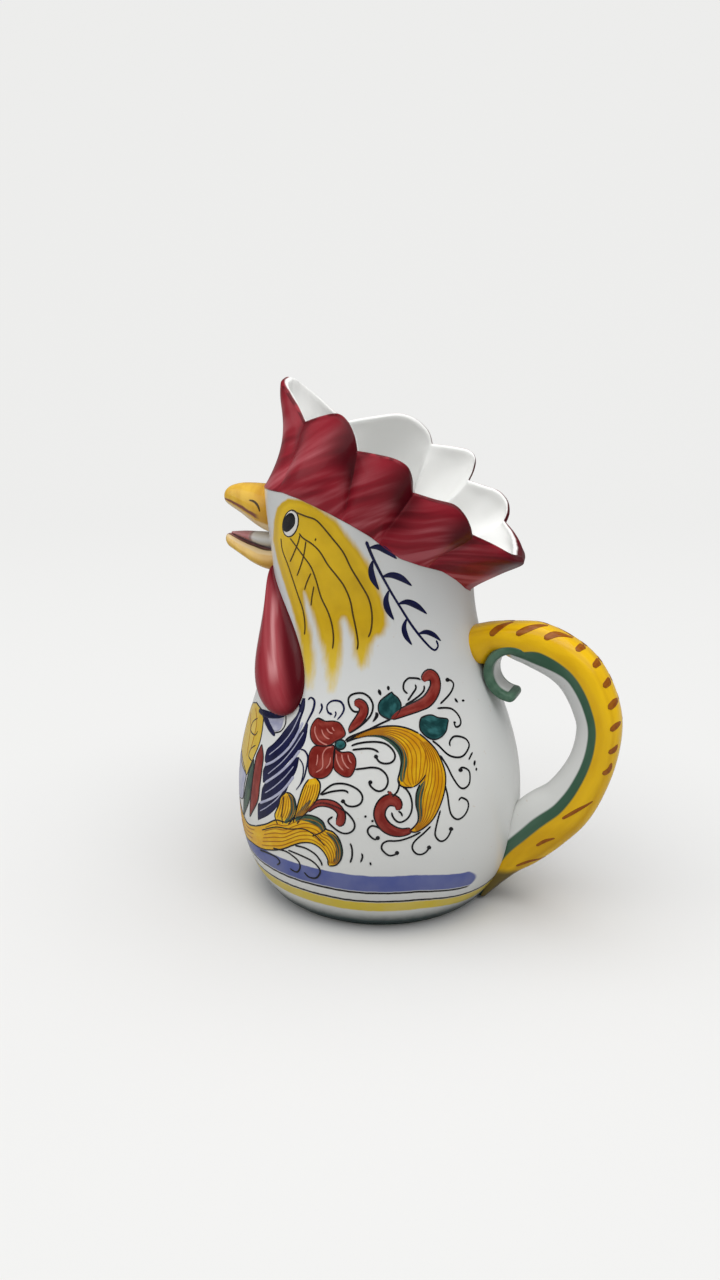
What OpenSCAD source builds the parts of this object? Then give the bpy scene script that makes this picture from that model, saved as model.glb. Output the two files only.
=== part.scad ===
// Rooster-shaped glazed earthenware pitcher, resting on its flat foot.
// Origin at the centre of the foot, beak towards -X, handle towards +X, +Z up.
// Every laid-on piece is drawn along the jug's own axis, which leans a little towards the beak.

/* [Body] */
// Radius of the foot where the jug stands
foot_r = 53.5; // [46:0.5:60]
// Largest radius of the belly
belly_r = 70; // [64:0.5:80]
// Height of the belly's widest ring
belly_h = 50; // [42:1:60]
// Radius of the neck at its slimmest
neck_r = 47.5; // [44:0.5:54]
// Height of the neck's slimmest ring
neck_h = 152; // [140:1:162]
// Radius of the head under the comb
head_r = 50; // [46:0.5:56]
// Height of the forehead, where the comb starts
forehead_h = 198.5; // [190:0.5:210]
// Thickness of the clay wall
wall = 5; // [3.5:0.25:6.5]
// Thickness of the floor
floor_t = 7; // [5:0.5:10]
// Forward lean of the whole jug, in degrees
lean = 2; // [0:0.5:4]

/* [Comb] */
// Height of the front lobe above the forehead
comb_h = 48; // [36:1:56]
// Radius of the arc that the comb's lower edge follows, seen from the side
comb_foot_arc_r = 110; // [104:1:130]
// Thickness of the comb at its rim
comb_rim_t = 3.2; // [2:0.2:5]
// How far the comb's lower edge stands proud of the head
comb_swell = 1.2; // [0.4:0.1:2.5]

/* [Beak] */
// How far the upper beak reaches out from the head
beak_reach = 28.5; // [20:0.5:34]
// Width of the upper beak where it meets the head
beak_w = 27; // [20:0.5:34]
// Height of the upper beak on the head, from the mouth's corner to the forehead
beak_h = 23.5; // [20:0.5:27]
// Opening between the beak's halves at their tips
beak_gape = 15; // [12:0.5:18]
// Thickness of the lower beak at the head
lower_beak_t = 12; // [9:0.5:14]

/* [Wattles] */
// Height of a wattle from its point to its rounded end
wattle_h = 63; // [50:1:70]
// Greatest width of a wattle
wattle_w = 41; // [28:1:46]
// Greatest thickness of a wattle
wattle_t = 11; // [5:0.5:13]

/* [Handle] */
// Distance from the jug's axis to the handle's middle line, at its furthest
handle_reach = 107.6; // [98:0.2:116]
// How far the handle's middle line at its top lies below the forehead
handle_drop = 73.5; // [67:0.5:80]
// Width of the handle strap across the jug
handle_w = 20.5; // [16:0.5:26]
// Thickness of the handle strap, from its outer face to its inner face
handle_t = 20.5; // [16:0.5:24]
// Outer radius of the scroll under the handle's upper root
scroll_r = 14; // [11:0.5:16]
// Thickness of the strip that forms the scroll
scroll_t = 5; // [3.5:0.25:6.5]

/* [Hidden] */
$fn = 96;

// Slip joint left between a laid-on piece and the body
lute_gap = 0.2;
// Overrun of a cutting solid past what it cuts
overrun = 5;

// Body profile
foot_curve = 2.8;
body_steps = 48;
profile_top_h = forehead_h + overrun;
profile_bottom_h = -2 * foot_r * sin(lean) - overrun;

function ease(u) = (1 - cos(180 * max(0, min(1, u)))) / 2;
function body_r(s) =
    s < belly_h ? belly_r - (belly_r - foot_r) * pow(abs(1 - s / belly_h), foot_curve)
  : s < neck_h ? belly_r - (belly_r - neck_r) * ease((s - belly_h) / (neck_h - belly_h))
  : neck_r + (head_r - neck_r) * ease((s - neck_h) / (forehead_h - neck_h));
// Distance from the axis plane to the body's surface, at half-width y and height s
function body_x(y, s) = sqrt(max(0, pow(body_r(s) + lute_gap, 2) - y * y));

module leaning() { rotate([0, -lean, 0]) children(); }

module body_solid(inset, bottom) {
    span = profile_top_h - bottom;
    levels = [for (i = [0 : body_steps]) bottom + span * i / body_steps];
    rotate_extrude()
        polygon(concat([[0, bottom]], [for (s = levels) [body_r(s) - inset, s]], [[0, profile_top_h]]));
}

// The head is cut along an arc that falls from the forehead to the nape
comb_arc_x = -0.84 * head_r;
comb_arc_s = forehead_h - comb_foot_arc_r;
module under_comb() {
    intersection() {
        translate([comb_arc_x, 2 * head_r, comb_arc_s])
            rotate([90, 0, 0]) cylinder(r = comb_foot_arc_r, h = 4 * head_r);
        translate([comb_arc_x, -2 * head_r, 0])
            cube([3 * head_r, 4 * head_r, 2 * forehead_h]);
    }
    translate([comb_arc_x - head_r, -2 * head_r, 0])
        cube([head_r, 4 * head_r, forehead_h]);
    translate([-2 * belly_r, -2 * belly_r, profile_bottom_h - overrun])
        cube([4 * belly_r, 4 * belly_r, neck_h - belly_h + overrun - profile_bottom_h]);
}

module body() {
    color("ivory")
    difference() {
        leaning()
            intersection() {
                difference() {
                    body_solid(0, profile_bottom_h);
                    body_solid(wall, floor_t);
                }
                under_comb();
            }
        translate([-2 * belly_r, -2 * belly_r, -2 * belly_r])
            cube([4 * belly_r, 4 * belly_r, 2 * belly_r]);
    }
}

// Closed skin through rings of equal point counts, with a flat lid at each end
module skin(rings) {
    n = len(rings[0]);
    m = len(rings);
    points = [for (ring = rings) for (p = ring) p];
    sides = [for (j = [0 : m - 2]) for (i = [0 : n - 1])
        for (tri = [[j * n + i, j * n + (i + 1) % n, (j + 1) * n + i],
                    [(j + 1) * n + i, j * n + (i + 1) % n, (j + 1) * n + (i + 1) % n]]) tri];
    lids = [[for (i = [n - 1 : -1 : 0]) i], [for (i = [0 : n - 1]) (m - 1) * n + i]];
    polyhedron(points, concat(sides, lids), convexity = 8);
}

// Smooth value through rows of numbers, u from 0 at the first row to 1 at the last
function mix(a, b, t) = a + (b - a) * t;
function row_at(rows, i) = rows[max(0, min(len(rows) - 1, i))];
function through(rows, u) =
    let (k = min(len(rows) - 2, floor(u * (len(rows) - 1))), t = u * (len(rows) - 1) - k,
         a = row_at(rows, k - 1), b = row_at(rows, k), c = row_at(rows, k + 1), d = row_at(rows, k + 2))
    b + t * ((c - a) + t * ((2 * a - 5 * b + 4 * c - d) + t * (3 * b - a - 3 * c + d))) / 2;

// Comb: each row is the angle of its foot on the head, then its rim point as shares of
// head_r, head_r and comb_h, measured from the axis, the mirror plane and the forehead,
// then how far the wall bows out below that point, as a share of comb_h
front_tip_share = [0, -0.92, 0, 1, -0.12];
notch_1_share = [56, -0.43, 0.54, 0.56, -0.04];
notch_2_share = [97, 0.28, 1.07, 0.30, -0.04];
notch_3_share = [115, 0.70, 0.89, -0.07, -0.04];
notch_4_share = [142, 1.15, 0.62, -0.46, -0.03];
rear_tip_share = [180, 1.48, 0, -0.72, 0.03];
lobe_shares = [
    [front_tip_share, [14, -0.85, 0.17, 0.96, -0.12], [28, -0.71, 0.31, 0.84, -0.09],
     [43, -0.55, 0.43, 0.68, -0.05], notch_1_share],
    [notch_1_share, [67, -0.21, 0.71, 0.60, 0.04], [79, 0.02, 0.86, 0.62, 0.06],
     [88, 0.16, 0.97, 0.55, 0.05], [94, 0.25, 1.05, 0.43, 0.02], notch_2_share],
    [notch_2_share, [102, 0.46, 1.12, 0.27, 0.04], [107, 0.63, 1.14, 0.23, 0.05],
     [111, 0.72, 1.09, 0.16, 0.04], [113, 0.73, 1.00, 0.05, 0.01], notch_3_share],
    [notch_3_share, [123, 0.88, 0.87, -0.13, 0.03], [131, 1.04, 0.82, -0.18, 0.04],
     [137, 1.13, 0.80, -0.27, 0.03], [140, 1.16, 0.73, -0.37, 0.01], notch_4_share],
    [notch_4_share, [155, 1.29, 0.42, -0.58, 0.01], [168, 1.39, 0.22, -0.67, 0.02], rear_tip_share]];
lobe_steps = 12;
comb_levels = 8;
comb_rows = concat([front_tip_share],
                   [for (lobe = lobe_shares) for (i = [1 : lobe_steps]) through(lobe, i / lobe_steps)]);
// The bow is fullest a little below the middle of the wall
bow_power = 0.8;

function comb_edge(x) =
    x < comb_arc_x ? forehead_h : comb_arc_s + sqrt(pow(comb_foot_arc_r, 2) - pow(x - comb_arc_x, 2));
// Height at which the comb's lower edge crosses the body at an angle, at a radius given by inset
function comb_foot_s(angle, inset, s, rounds) =
    rounds == 0 ? s
  : comb_foot_s(angle, inset, comb_edge(-(body_r(s) - inset) * cos(angle)), rounds - 1);
function comb_foot(angle, inset) =
    let (s = comb_foot_s(angle, inset, neck_h, 5), r = body_r(s) - inset)
    [-r * cos(angle), r * sin(angle), s + lute_gap];
function comb_rim(row) = [row[1] * head_r, row[2] * head_r, forehead_h + row[3] * comb_h];

// The wall's inner side lies inwards of the outer one, towards a middle line between two centres
inward_front_share = -0.4;
inward_rear_share = 0.9;
function inward(p, t) =
    let (cx = t * max(inward_front_share * head_r, min(inward_rear_share * head_r, p[0])),
         d = [cx - p[0], -p[1], 0])
    d / norm(d);
function comb_outer(row, t) =
    let (foot = comb_foot(row[0], -comb_swell * (1 - t)), rim = comb_rim(row), p = mix(foot, rim, t))
    p - inward(p, t) * row[4] * comb_h * sin(180 * pow(t, bow_power));
function comb_inner(row, t) =
    t == 0 ? comb_foot(row[0], wall) : let (p = comb_outer(row, t)) p + inward(p, t) * mix(wall, comb_rim_t, t);
function comb_section(row) =
    concat([for (j = [0 : comb_levels]) comb_outer(row, j / comb_levels)],
           [(comb_outer(row, 1) + comb_inner(row, 1)) / 2 + [0, 0, comb_rim_t / 3]],
           [for (j = [comb_levels : -1 : 0]) comb_inner(row, j / comb_levels)]);

module comb_half() {
    skin([for (row = comb_rows) comb_section(row)]);
}
module comb_right() { color("firebrick") leaning() comb_half(); }
module comb_left() { color("firebrick") mirror([0, 1, 0]) leaning() comb_half(); }

// Beak and tongue: rings stand along the axis of the beak. Each row is the share of the
// piece's reach, of its half-width, and its top and bottom heights as shares of its depth
beak_sides = 20;
mouth_h = forehead_h - beak_h;
upper_shares = [
    [0, 1, 0.96, -0.06], [0.2, 0.9, 0.99, 0.02], [0.42, 0.74, 1.01, 0.17], [0.65, 0.56, 1.01, 0.36],
    [0.85, 0.38, 0.96, 0.50], [0.96, 0.22, 0.87, 0.59], [1, 0.07, 0.77, 0.66]];
lower_top_h = mouth_h - 0.07 * beak_gape;
lower_w = 0.88 * beak_w;
lower_shares = [
    [0, 1, -0.62, -1.56], [0.2, 0.93, -0.6, -1.43], [0.4, 0.8, -0.48, -1.23], [0.6, 0.62, -0.33, -0.94],
    [0.8, 0.42, -0.16, -0.60], [0.94, 0.26, -0.03, -0.40], [1, 0.1, -0.1, -0.28]];
tongue_w = 0.55 * beak_w;
tongue_reach = 0.9 * beak_reach;
tongue_shares = [
    [0, 1, 0.02, -0.57], [0.25, 0.95, 0.05, -0.54], [0.5, 0.78, 0.07, -0.38],
    [0.75, 0.52, 0.08, -0.2], [1, 0.14, 0.05, -0.03]];
lid_shares = [0.03, 0.35, 0.68];

// Ring of a beak piece: at the head it lies on the body, further out it is flat
function beak_ring(out, half_w, top, bottom, share) =
    [for (i = [0 : beak_sides - 1])
        let (a = 360 * i / beak_sides, y = share * half_w * cos(a),
             s = (top + bottom) / 2 + share * (top - bottom) / 2 * sin(a))
        [-max(out, body_x(y, s)), y, s]];
module beak_piece(rows, reach, width, base_s, depth) {
    r0 = rows[0];
    lid = [for (share = lid_shares) beak_ring(0, width / 2, base_s + r0[2] * depth, base_s + r0[3] * depth, share)];
    rings = [for (r = rows)
        beak_ring(head_r + r[0] * reach, r[1] * width / 2, base_s + r[2] * depth, base_s + r[3] * depth, 1)];
    skin(concat(lid, rings));
}
module beak_upper() {
    color("goldenrod") leaning()
        beak_piece(upper_shares, beak_reach, beak_w, mouth_h, beak_h);
}
module beak_lower() {
    color("goldenrod") leaning()
        beak_piece(lower_shares, beak_reach, lower_w, lower_top_h, lower_beak_t);
}
module tongue() {
    color("rosybrown") leaning()
        beak_piece(tongue_shares, tongue_reach, tongue_w, lower_top_h, lower_beak_t);
}

// Wattles: a pear outline laid on the body along a slanting line, domed outwards
wattle_top_angle = 26;
wattle_end_angle = 64;
wattle_slant = 0.75;
wattle_top_s = mouth_h - 0.92 * beak_gape;
wattle_middle_share = 0.62;
wattle_points = 24;
wattle_back_shares = [0.04, 0.36, 0.7];
wattle_front_shares = [1, 0.97, 0.88, 0.72, 0.48, 0.22, 0.03];
pear_curve = 0.42;
pear_fullness = 1.12;
point_thickness_share = 0.6;

// Point of the ring at a share of the outline, at turn a round it, raised when front is true
function wattle_point(share, a, front) =
    let (along = 0.5 - cos(a) / 2,
         u = mix(wattle_middle_share, along, share),
         s = wattle_top_s - u * wattle_h,
         across = share * wattle_w / 2 * sin(a) * pear_fullness * pow(along, pear_curve),
         angle = mix(wattle_top_angle, wattle_end_angle, pow(u, wattle_slant)) + across / body_r(s) * 180 / PI,
         out = front ? wattle_t * mix(point_thickness_share, 1, u) * sqrt(1 - share * share) : 0,
         r = body_r(s) + lute_gap + out)
    [-r * cos(angle), r * sin(angle), s];
function wattle_ring(share, front) =
    [for (i = [0 : wattle_points - 1]) wattle_point(share, 360 * i / wattle_points, front)];

module wattle() {
    skin(concat([for (share = wattle_back_shares) wattle_ring(share, false)],
                [for (share = wattle_front_shares) wattle_ring(share, true)]));
}
module wattle_right() { color("firebrick") leaning() wattle(); }
module wattle_left() { color("firebrick") mirror([0, 1, 0]) leaning() wattle(); }

// Handle: each row is the strap's middle line as shares of handle_reach and handle_top_h,
// then its thickness and width as shares of handle_t and handle_w
handle_top_h = forehead_h - handle_drop;
handle_shares = [
    [0.474, 0.986, 1.00, 1.06], [0.534, 1.015, 0.72, 1.02], [0.595, 1.021, 0.71, 1.00],
    [0.664, 1.011, 0.89, 1.00], [0.743, 0.995, 1.02, 1.00], [0.846, 0.952, 1.04, 1.00],
    [0.922, 0.892, 1.05, 1.00], [0.980, 0.792, 1.02, 1.00], [1.000, 0.690, 0.98, 1.00],
    [0.966, 0.549, 1.03, 1.00], [0.876, 0.405, 1.22, 1.02], [0.761, 0.311, 1.38, 1.08],
    [0.640, 0.205, 1.24, 1.10], [0.574, 0.112, 0.75, 1.02], [0.506, 0.002, 0.26, 0.86]];
handle_stations = 56;
handle_sides = 24;
handle_squareness = 0.82;
root_lid_shares = [0.03, 0.36, 0.7];

function handle_row(u) = through(handle_shares, u);
function handle_middle(u) = let (row = handle_row(u)) [row[0] * handle_reach, row[1] * handle_top_h];
function rounded(v) = sign(v) * pow(abs(v), handle_squareness);
function handle_ring(u, share) =
    let (step = 0.5 / handle_stations, row = handle_row(u), p = handle_middle(u),
         d = handle_middle(min(1, u + step)) - handle_middle(max(0, u - step)),
         n = [-d[1], d[0]] / norm(d))
    [for (i = [0 : handle_sides - 1])
        let (a = -360 * i / handle_sides,
             y = share * row[3] * handle_w / 2 * rounded(cos(a)),
             out = share * row[2] * handle_t / 2 * rounded(sin(a)),
             s = p[1] + n[1] * out, x = p[0] + n[0] * out)
        [u == 0 ? body_x(y, s) : max(x, body_x(y, s)), y, s]];

// The scroll is a strip curled round from the strap's root, its outer side against the body
scroll_s = handle_top_h - 0.92 * scroll_r;
scroll_x = body_r(scroll_s) + 2 * lute_gap + scroll_r;
scroll_start = 75;
scroll_end = 263;
scroll_w = 0.9 * handle_w;
function polar(r, a) = [r * cos(a), r * sin(a)];
module scroll() {
    translate([scroll_x, 0, scroll_s]) rotate([90, 0, 0])
        linear_extrude(height = scroll_w, center = true) {
            intersection() {
                difference() {
                    circle(r = scroll_r);
                    circle(r = scroll_r - scroll_t);
                }
                polygon(concat([[0, 0]],
                    [for (i = [0 : 4]) polar(2 * scroll_r, mix(scroll_start, scroll_end, i / 4))]));
            }
            translate(polar(scroll_r - scroll_t / 2, scroll_end)) circle(r = scroll_t / 2);
        }
}

module handle() {
    color("gold") leaning() {
        skin(concat([for (share = root_lid_shares) handle_ring(0, share)],
                    [for (i = [0 : handle_stations]) handle_ring(i / handle_stations, 1)]));
        scroll();
    }
}

body();
comb_left();
comb_right();
beak_upper();
beak_lower();
tongue();
wattle_left();
wattle_right();
handle();
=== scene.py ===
import math
import bmesh
import bpy
import numpy as np
from mathutils import Matrix, Vector
from mathutils.bvhtree import BVHTree


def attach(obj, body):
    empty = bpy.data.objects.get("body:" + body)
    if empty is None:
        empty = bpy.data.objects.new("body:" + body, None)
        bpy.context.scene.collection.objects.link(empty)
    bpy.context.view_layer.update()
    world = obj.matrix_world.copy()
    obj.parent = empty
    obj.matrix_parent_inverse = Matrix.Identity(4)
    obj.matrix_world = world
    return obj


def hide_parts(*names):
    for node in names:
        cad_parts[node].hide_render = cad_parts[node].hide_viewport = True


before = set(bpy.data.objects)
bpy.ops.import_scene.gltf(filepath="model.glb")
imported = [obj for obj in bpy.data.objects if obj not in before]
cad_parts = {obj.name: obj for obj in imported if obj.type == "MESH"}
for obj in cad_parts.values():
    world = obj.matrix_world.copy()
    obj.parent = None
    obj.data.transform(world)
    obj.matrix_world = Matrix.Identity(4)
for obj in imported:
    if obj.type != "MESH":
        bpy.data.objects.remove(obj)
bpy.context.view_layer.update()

mm = 0.001

# The photo's camera, in millimetres in the part's frame, and in pixels of the photo
photo = {
    "eye": Vector((155.0, -420.7, 230.2)),
    "ahead": Vector((-0.35956, 0.90355, -0.23306)),
    "right": Vector((0.92892, 0.37028, 0.00242)),
    "focal": 950, "middle": (360, 640), "tall": 1280, "depths": range(240, 640, 40)}
photo["up"] = photo["right"].cross(photo["ahead"]).normalized()
# what one pixel of the photo covers on the jug, in millimetres
pixelSize = 0.48


def pixelRay(pixel):
    across = (pixel[0] - photo["middle"][0]) / photo["focal"]
    down = (pixel[1] - photo["middle"][1]) / photo["focal"]
    return (photo["ahead"] + photo["right"] * across - photo["up"] * down).normalized()


def toPixel(points):
    away = points - np.array(photo["eye"])
    depth = away @ np.array(photo["ahead"])
    across = away @ np.array(photo["right"]) / depth
    up = away @ np.array(photo["up"]) / depth
    return np.stack([photo["middle"][0] + photo["focal"] * across,
                     photo["middle"][1] - photo["focal"] * up], 1)


# Shapes shared by the pieces, in millimetres along the jug's own leaning axis
jug = {"footR": 53.5, "bellyR": 70, "bellyS": 50, "neckR": 47.5, "neckS": 152, "headR": 50,
       "foreheadS": 198.5, "wall": 5, "floor": 7, "lean": 2, "footCurve": 2.8}
leanSin, leanCos = math.sin(math.radians(jug["lean"])), math.cos(math.radians(jug["lean"]))


def ease(u):
    return (1 - math.cos(math.pi * min(1, max(0, u)))) / 2


def mix(a, b, t):
    return a + (b - a) * t


def bodyR(s):
    if s < jug["bellyS"]:
        return jug["bellyR"] - (jug["bellyR"] - jug["footR"]) * abs(1 - s / jug["bellyS"]) ** jug["footCurve"]
    if s < jug["neckS"]:
        return mix(jug["bellyR"], jug["neckR"], ease((s - jug["bellyS"]) / (jug["neckS"] - jug["bellyS"])))
    return mix(jug["neckR"], jug["headR"], ease((s - jug["neckS"]) / (jug["foreheadS"] - jug["neckS"])))


def bodyX(y, s, sunk=0):
    return math.sqrt(max(0, (bodyR(s) - sunk) ** 2 - y * y))


def leaning(x, y, s):
    return Vector((x * leanCos - s * leanSin, y, x * leanSin + s * leanCos)) * mm


def onTurn(turn, radius, s):
    a = math.radians(turn)
    return leaning(-radius * math.cos(a), -radius * math.sin(a), s)


def through(rows, u):
    # smooth row of numbers, u from 0 at the first row to 1 at the last
    k = min(len(rows) - 2, int(u * (len(rows) - 1)))
    t = u * (len(rows) - 1) - k
    a, b, c, d = (rows[max(0, min(len(rows) - 1, k + i))] for i in (-1, 0, 1, 2))
    return [q + t * ((r - p) + t * ((2 * p - 5 * q + 4 * r - w) + t * (3 * q - p - 3 * r + w))) / 2
            for p, q, r, w in zip(a, b, c, d)]


# Mesh helpers
def wrapGrid(bm, across, along, place, facts=None):
    # a grid bent into place; its seams and poles are welded where its edges meet
    made = bmesh.ops.create_grid(bm, x_segments=across, y_segments=along, size=0.5, calc_uvs=True)["verts"]
    layers = [bm.verts.layers.float[name] for name in (facts or {})]
    makers = list((facts or {}).values())
    for v in made:
        u, w = v.co.x + 0.5, v.co.y + 0.5
        v.co = place(u, w)
        for layer, maker in zip(layers, makers):
            v[layer] = maker(u, w)
    bmesh.ops.remove_doubles(bm, verts=made, dist=1e-6)


def newMesh(facts=()):
    bm = bmesh.new()
    bm.loops.layers.uv.new("uv")
    for name in facts:
        bm.verts.layers.float.new(name)
    return bm


def makeObject(bm, name, material):
    for face in bm.faces:
        face.smooth = True
    mesh = bpy.data.meshes.new(name)
    bm.to_mesh(mesh)
    bm.free()
    mesh.materials.append(material)
    made = bpy.data.objects.new(name, mesh)
    bpy.context.collection.objects.link(made)
    return made


def finishPiece(bm, name, slot, material, *nodes):
    bmesh.ops.recalc_face_normals(bm, faces=bm.faces)
    piece = makeObject(bm, name, material)
    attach(piece, "root")
    if nodes:
        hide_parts(*nodes)
    print(name, len(piece.data.polygons), "faces")


# Shader helpers: sums of sockets are written as ordinary sums
class Value:
    def __init__(self, paint, socket):
        self.paint, self.socket = paint, socket

    def maths(self, operation, a, b):
        return self.paint.node("ShaderNodeMath", {"operation": operation}, {0: a, 1: b})

    def __add__(self, other): return self.maths("ADD", self, other)
    def __radd__(self, other): return self.maths("ADD", other, self)
    def __sub__(self, other): return self.maths("SUBTRACT", self, other)
    def __rsub__(self, other): return self.maths("SUBTRACT", other, self)
    def __mul__(self, other): return self.maths("MULTIPLY", self, other)
    def __rmul__(self, other): return self.maths("MULTIPLY", other, self)
    def __truediv__(self, other): return self.maths("DIVIDE", self, other)
    def __rtruediv__(self, other): return self.maths("DIVIDE", other, self)


# The glaze's unevenness: the scale of its ripple and of its finer grain, the grain's share and the depth
relief = {"ripple": 90, "grain": 900, "grainShare": 0.12, "depth": 0.002}


class Paint:
    def __init__(self, name, coat=0.06, shine=0.35):
        self.material = bpy.data.materials.new(name)
        self.material.use_nodes = True
        self.tree = self.material.node_tree
        self.shader = self.tree.nodes["Principled BSDF"]
        constants = {"Roughness": 0.2, "IOR": 1.36, "Specular IOR Level": shine, "Coat Weight": coat,
                     "Coat Roughness": 0.04}
        for socket, value in constants.items():
            self.shader.inputs[socket].default_value = value

    def node(self, kind, settings=None, links=None, out=0):
        made = self.tree.nodes.new(kind)
        for key, value in (settings or {}).items():
            setattr(made, key, value)
        for key, value in (links or {}).items():
            if isinstance(value, Value):
                self.tree.links.new(value.socket, made.inputs[key])
            else:
                made.inputs[key].default_value = value
        return Value(self, made.outputs[out])

    def place(self):
        return self.node("ShaderNodeTexCoord", out="Object")

    def spread(self):
        return self.node("ShaderNodeUVMap", {"uv_map": "uv"})

    def stretched(self, where, factors):
        return self.node("ShaderNodeVectorMath", {"operation": "MULTIPLY"}, {0: where, 1: factors})

    def unrolled(self, across, along):
        # the mesh's own coordinates, stretched across and along
        return self.stretched(self.spread(), (across, along, 1))

    def skewed(self, across, along, lean):
        # the mesh's own coordinates again, with the strokes leaning over
        u, v = self.axis("X", self.spread()), self.axis("Y", self.spread())
        return self.node("ShaderNodeCombineXYZ", links={0: u * across + v * lean, 1: v * along})

    def fact(self, name):
        return self.node("ShaderNodeAttribute", {"attribute_name": name}, out="Fac")

    def axis(self, which, where=None):
        return self.node("ShaderNodeSeparateXYZ", links={0: where or self.place()}, out=which)

    def noise(self, scale, where=None, detail=3.0):
        return self.node("ShaderNodeTexNoise", links={
            "Vector": where or self.place(), "Scale": scale, "Detail": detail})

    def step(self, value, low, high, bottom=0.0, top=1.0):
        return self.node("ShaderNodeMapRange", {"interpolation_type": "SMOOTHSTEP"}, {
            "Value": value, "From Min": low, "From Max": high, "To Min": bottom, "To Max": top})

    def fall(self, value, low, high, top=1.0):
        return self.step(value, low, high, top, 0.0)

    def unsigned(self, value):
        return self.node("ShaderNodeMath", {"operation": "ABSOLUTE"}, {0: value})

    def blend(self, share, a, b):
        a, b = (c if isinstance(c, Value) else (*c, 1) for c in (a, b))
        return self.node("ShaderNodeMix", {"data_type": "RGBA"}, {0: share, 6: a, 7: b}, out=2)

    def layers(self, colour, *covers):
        # a colour with others laid over it in turn, each by its own share
        colour = colours[colour] if isinstance(colour, str) else colour
        for share, name in covers:
            colour = self.blend(share, colour, colours[name])
        return colour

    def finish(self, colour, roughness, strength=0.05):
        height = self.noise(relief["ripple"]) + self.noise(relief["grain"]) * relief["grainShare"]
        bump = self.node("ShaderNodeBump", links={
            "Strength": strength, "Distance": relief["depth"], "Height": height})
        for socket, value in (("Base Color", colour), ("Roughness", roughness), ("Normal", bump)):
            self.tree.links.new(value.socket, self.shader.inputs[socket])
        return self.material


# some of these stand in for light: a grey laid on the white glaze as painted shade, a brighter white inside
# the comb as painted light, pale reds and pinks on the comb and wattles as painted highlights, and a grey at
# the tongue's back as painted shade
colours = {
    "white": (0.77, 0.775, 0.75), "greyWhiteAndShade": (0.62, 0.635, 0.635), "clay": (0.55, 0.40, 0.26),
    "innerWhite": (0.96, 0.96, 0.94),
    "cheek": (0.84, 0.55, 0.018), "cheekDeep": (0.46, 0.27, 0.008),
    "combRed": (0.290, 0.014, 0.026), "combPaleAndHighlight": (0.48, 0.110, 0.130), "combDark": (0.075, 0.002, 0.006),
    "wattleHighlight": (0.50, 0.100, 0.115), "highlightPink": (0.66, 0.28, 0.29), "cheekThin": (0.78, 0.60, 0.075),
    "beak": (0.80, 0.50, 0.060), "beakDeep": (0.50, 0.20, 0.012), "beakPale": (0.80, 0.62, 0.36),
    "lipBrown": (0.22, 0.070, 0.045),
    "inkBlack": (0.014, 0.012, 0.014), "inkBrown": (0.085, 0.045, 0.015),
    "bandYellow": (0.74, 0.56, 0.045), "bandBlue": (0.082, 0.108, 0.34), "footDark": (0.008, 0.034, 0.034),
    "handleYellow": (0.90, 0.55, 0.010), "handleDeep": (0.60, 0.30, 0.003),
    "handleGreen": (0.035, 0.100, 0.058), "scrollGreen": (0.10, 0.19, 0.13),
    "tonguePink": (0.44, 0.20, 0.20), "tongueShadeGrey": (0.58, 0.57, 0.54)}


# Body: outer wall, hidden rim, inner wall and floor in one closed skin
# Height along the axis where the red of the comb starts, by turn from the beak
redEdge = {0: 198.5, 36: 198.4, 60: 197.5, 72: 195.2, 81: 192.4, 90: 189, 100: 184.4, 110: 179, 117: 174,
           125: 169, 136: 165.3, 150: 161.6, 162: 156.3, 172: 151.3, 180: 149}


def redS(turn):
    turn = abs((turn + 180) % 360 - 180)
    return float(np.interp(turn, list(redEdge), list(redEdge.values())))


def footS(turn):
    # where the leaning skin meets the ground, which a few rounds settle
    s = 0
    for _ in range(4):
        s = bodyR(s) * math.cos(math.radians(turn)) * leanSin / leanCos
    return s


# The skin's faces round and up each stretch, then the foot's rounded edge and the inner corner
shell = {"around": 360, "foot": 5, "edgeSteps": 3, "outer": 176, "inner": 44, "fillet": 6, "ground": 6,
         "edge": 1.2, "tuck": -0.05, "filletR": 6}


def shellPoint(row, turn):
    # one point of the skin, from the middle of the foot over the rim to the middle of the floor
    base, r0 = footS(turn), bodyR(footS(turn))
    if row <= shell["foot"]:
        p = onTurn(turn, (r0 - shell["edge"]) * row / shell["foot"], base)
        return Vector((p.x, p.y, 0))
    row -= shell["foot"]
    if row <= shell["edgeSteps"]:
        a = math.radians(90 * row / shell["edgeSteps"])
        p = onTurn(turn, r0 - shell["edge"] * (1 - math.sin(a)), base)
        return Vector((p.x, p.y, shell["edge"] * (1 - math.cos(a)) * mm))
    row -= shell["edgeSteps"]
    top = redS(turn) + shell["tuck"]
    low = base + shell["edge"]
    if row <= shell["outer"]:
        s = mix(low, top, row / shell["outer"])
        return onTurn(turn, bodyR(s), s)
    row -= shell["outer"]
    bottom = jug["floor"] + shell["filletR"]
    if row <= shell["inner"]:
        s = mix(top, bottom, row / shell["inner"])
        return onTurn(turn, bodyR(s) - jug["wall"], s)
    row -= shell["inner"]
    inner = bodyR(bottom) - jug["wall"]
    if row <= shell["fillet"]:
        a = math.radians(90 * row / shell["fillet"])
        r = inner - shell["filletR"] * (1 - math.cos(a))
        return onTurn(turn, r, bottom - shell["filletR"] * math.sin(a))
    row -= shell["fillet"]
    return onTurn(turn, (inner - shell["filletR"]) * (1 - row / shell["ground"]), jug["floor"])


outerEnd = shell["foot"] + shell["edgeSteps"] + shell["outer"]
shellRows = outerEnd + shell["inner"] + shell["fillet"] + shell["ground"]
bodyMesh = newMesh(["inside", "cheek"])
wrapGrid(bodyMesh, shell["around"], shellRows,
         lambda u, w: shellPoint(round(w * shellRows), (u * 360) % 360),
         {"inside": lambda u, w: float(round(w * shellRows) > outerEnd)})

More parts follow.
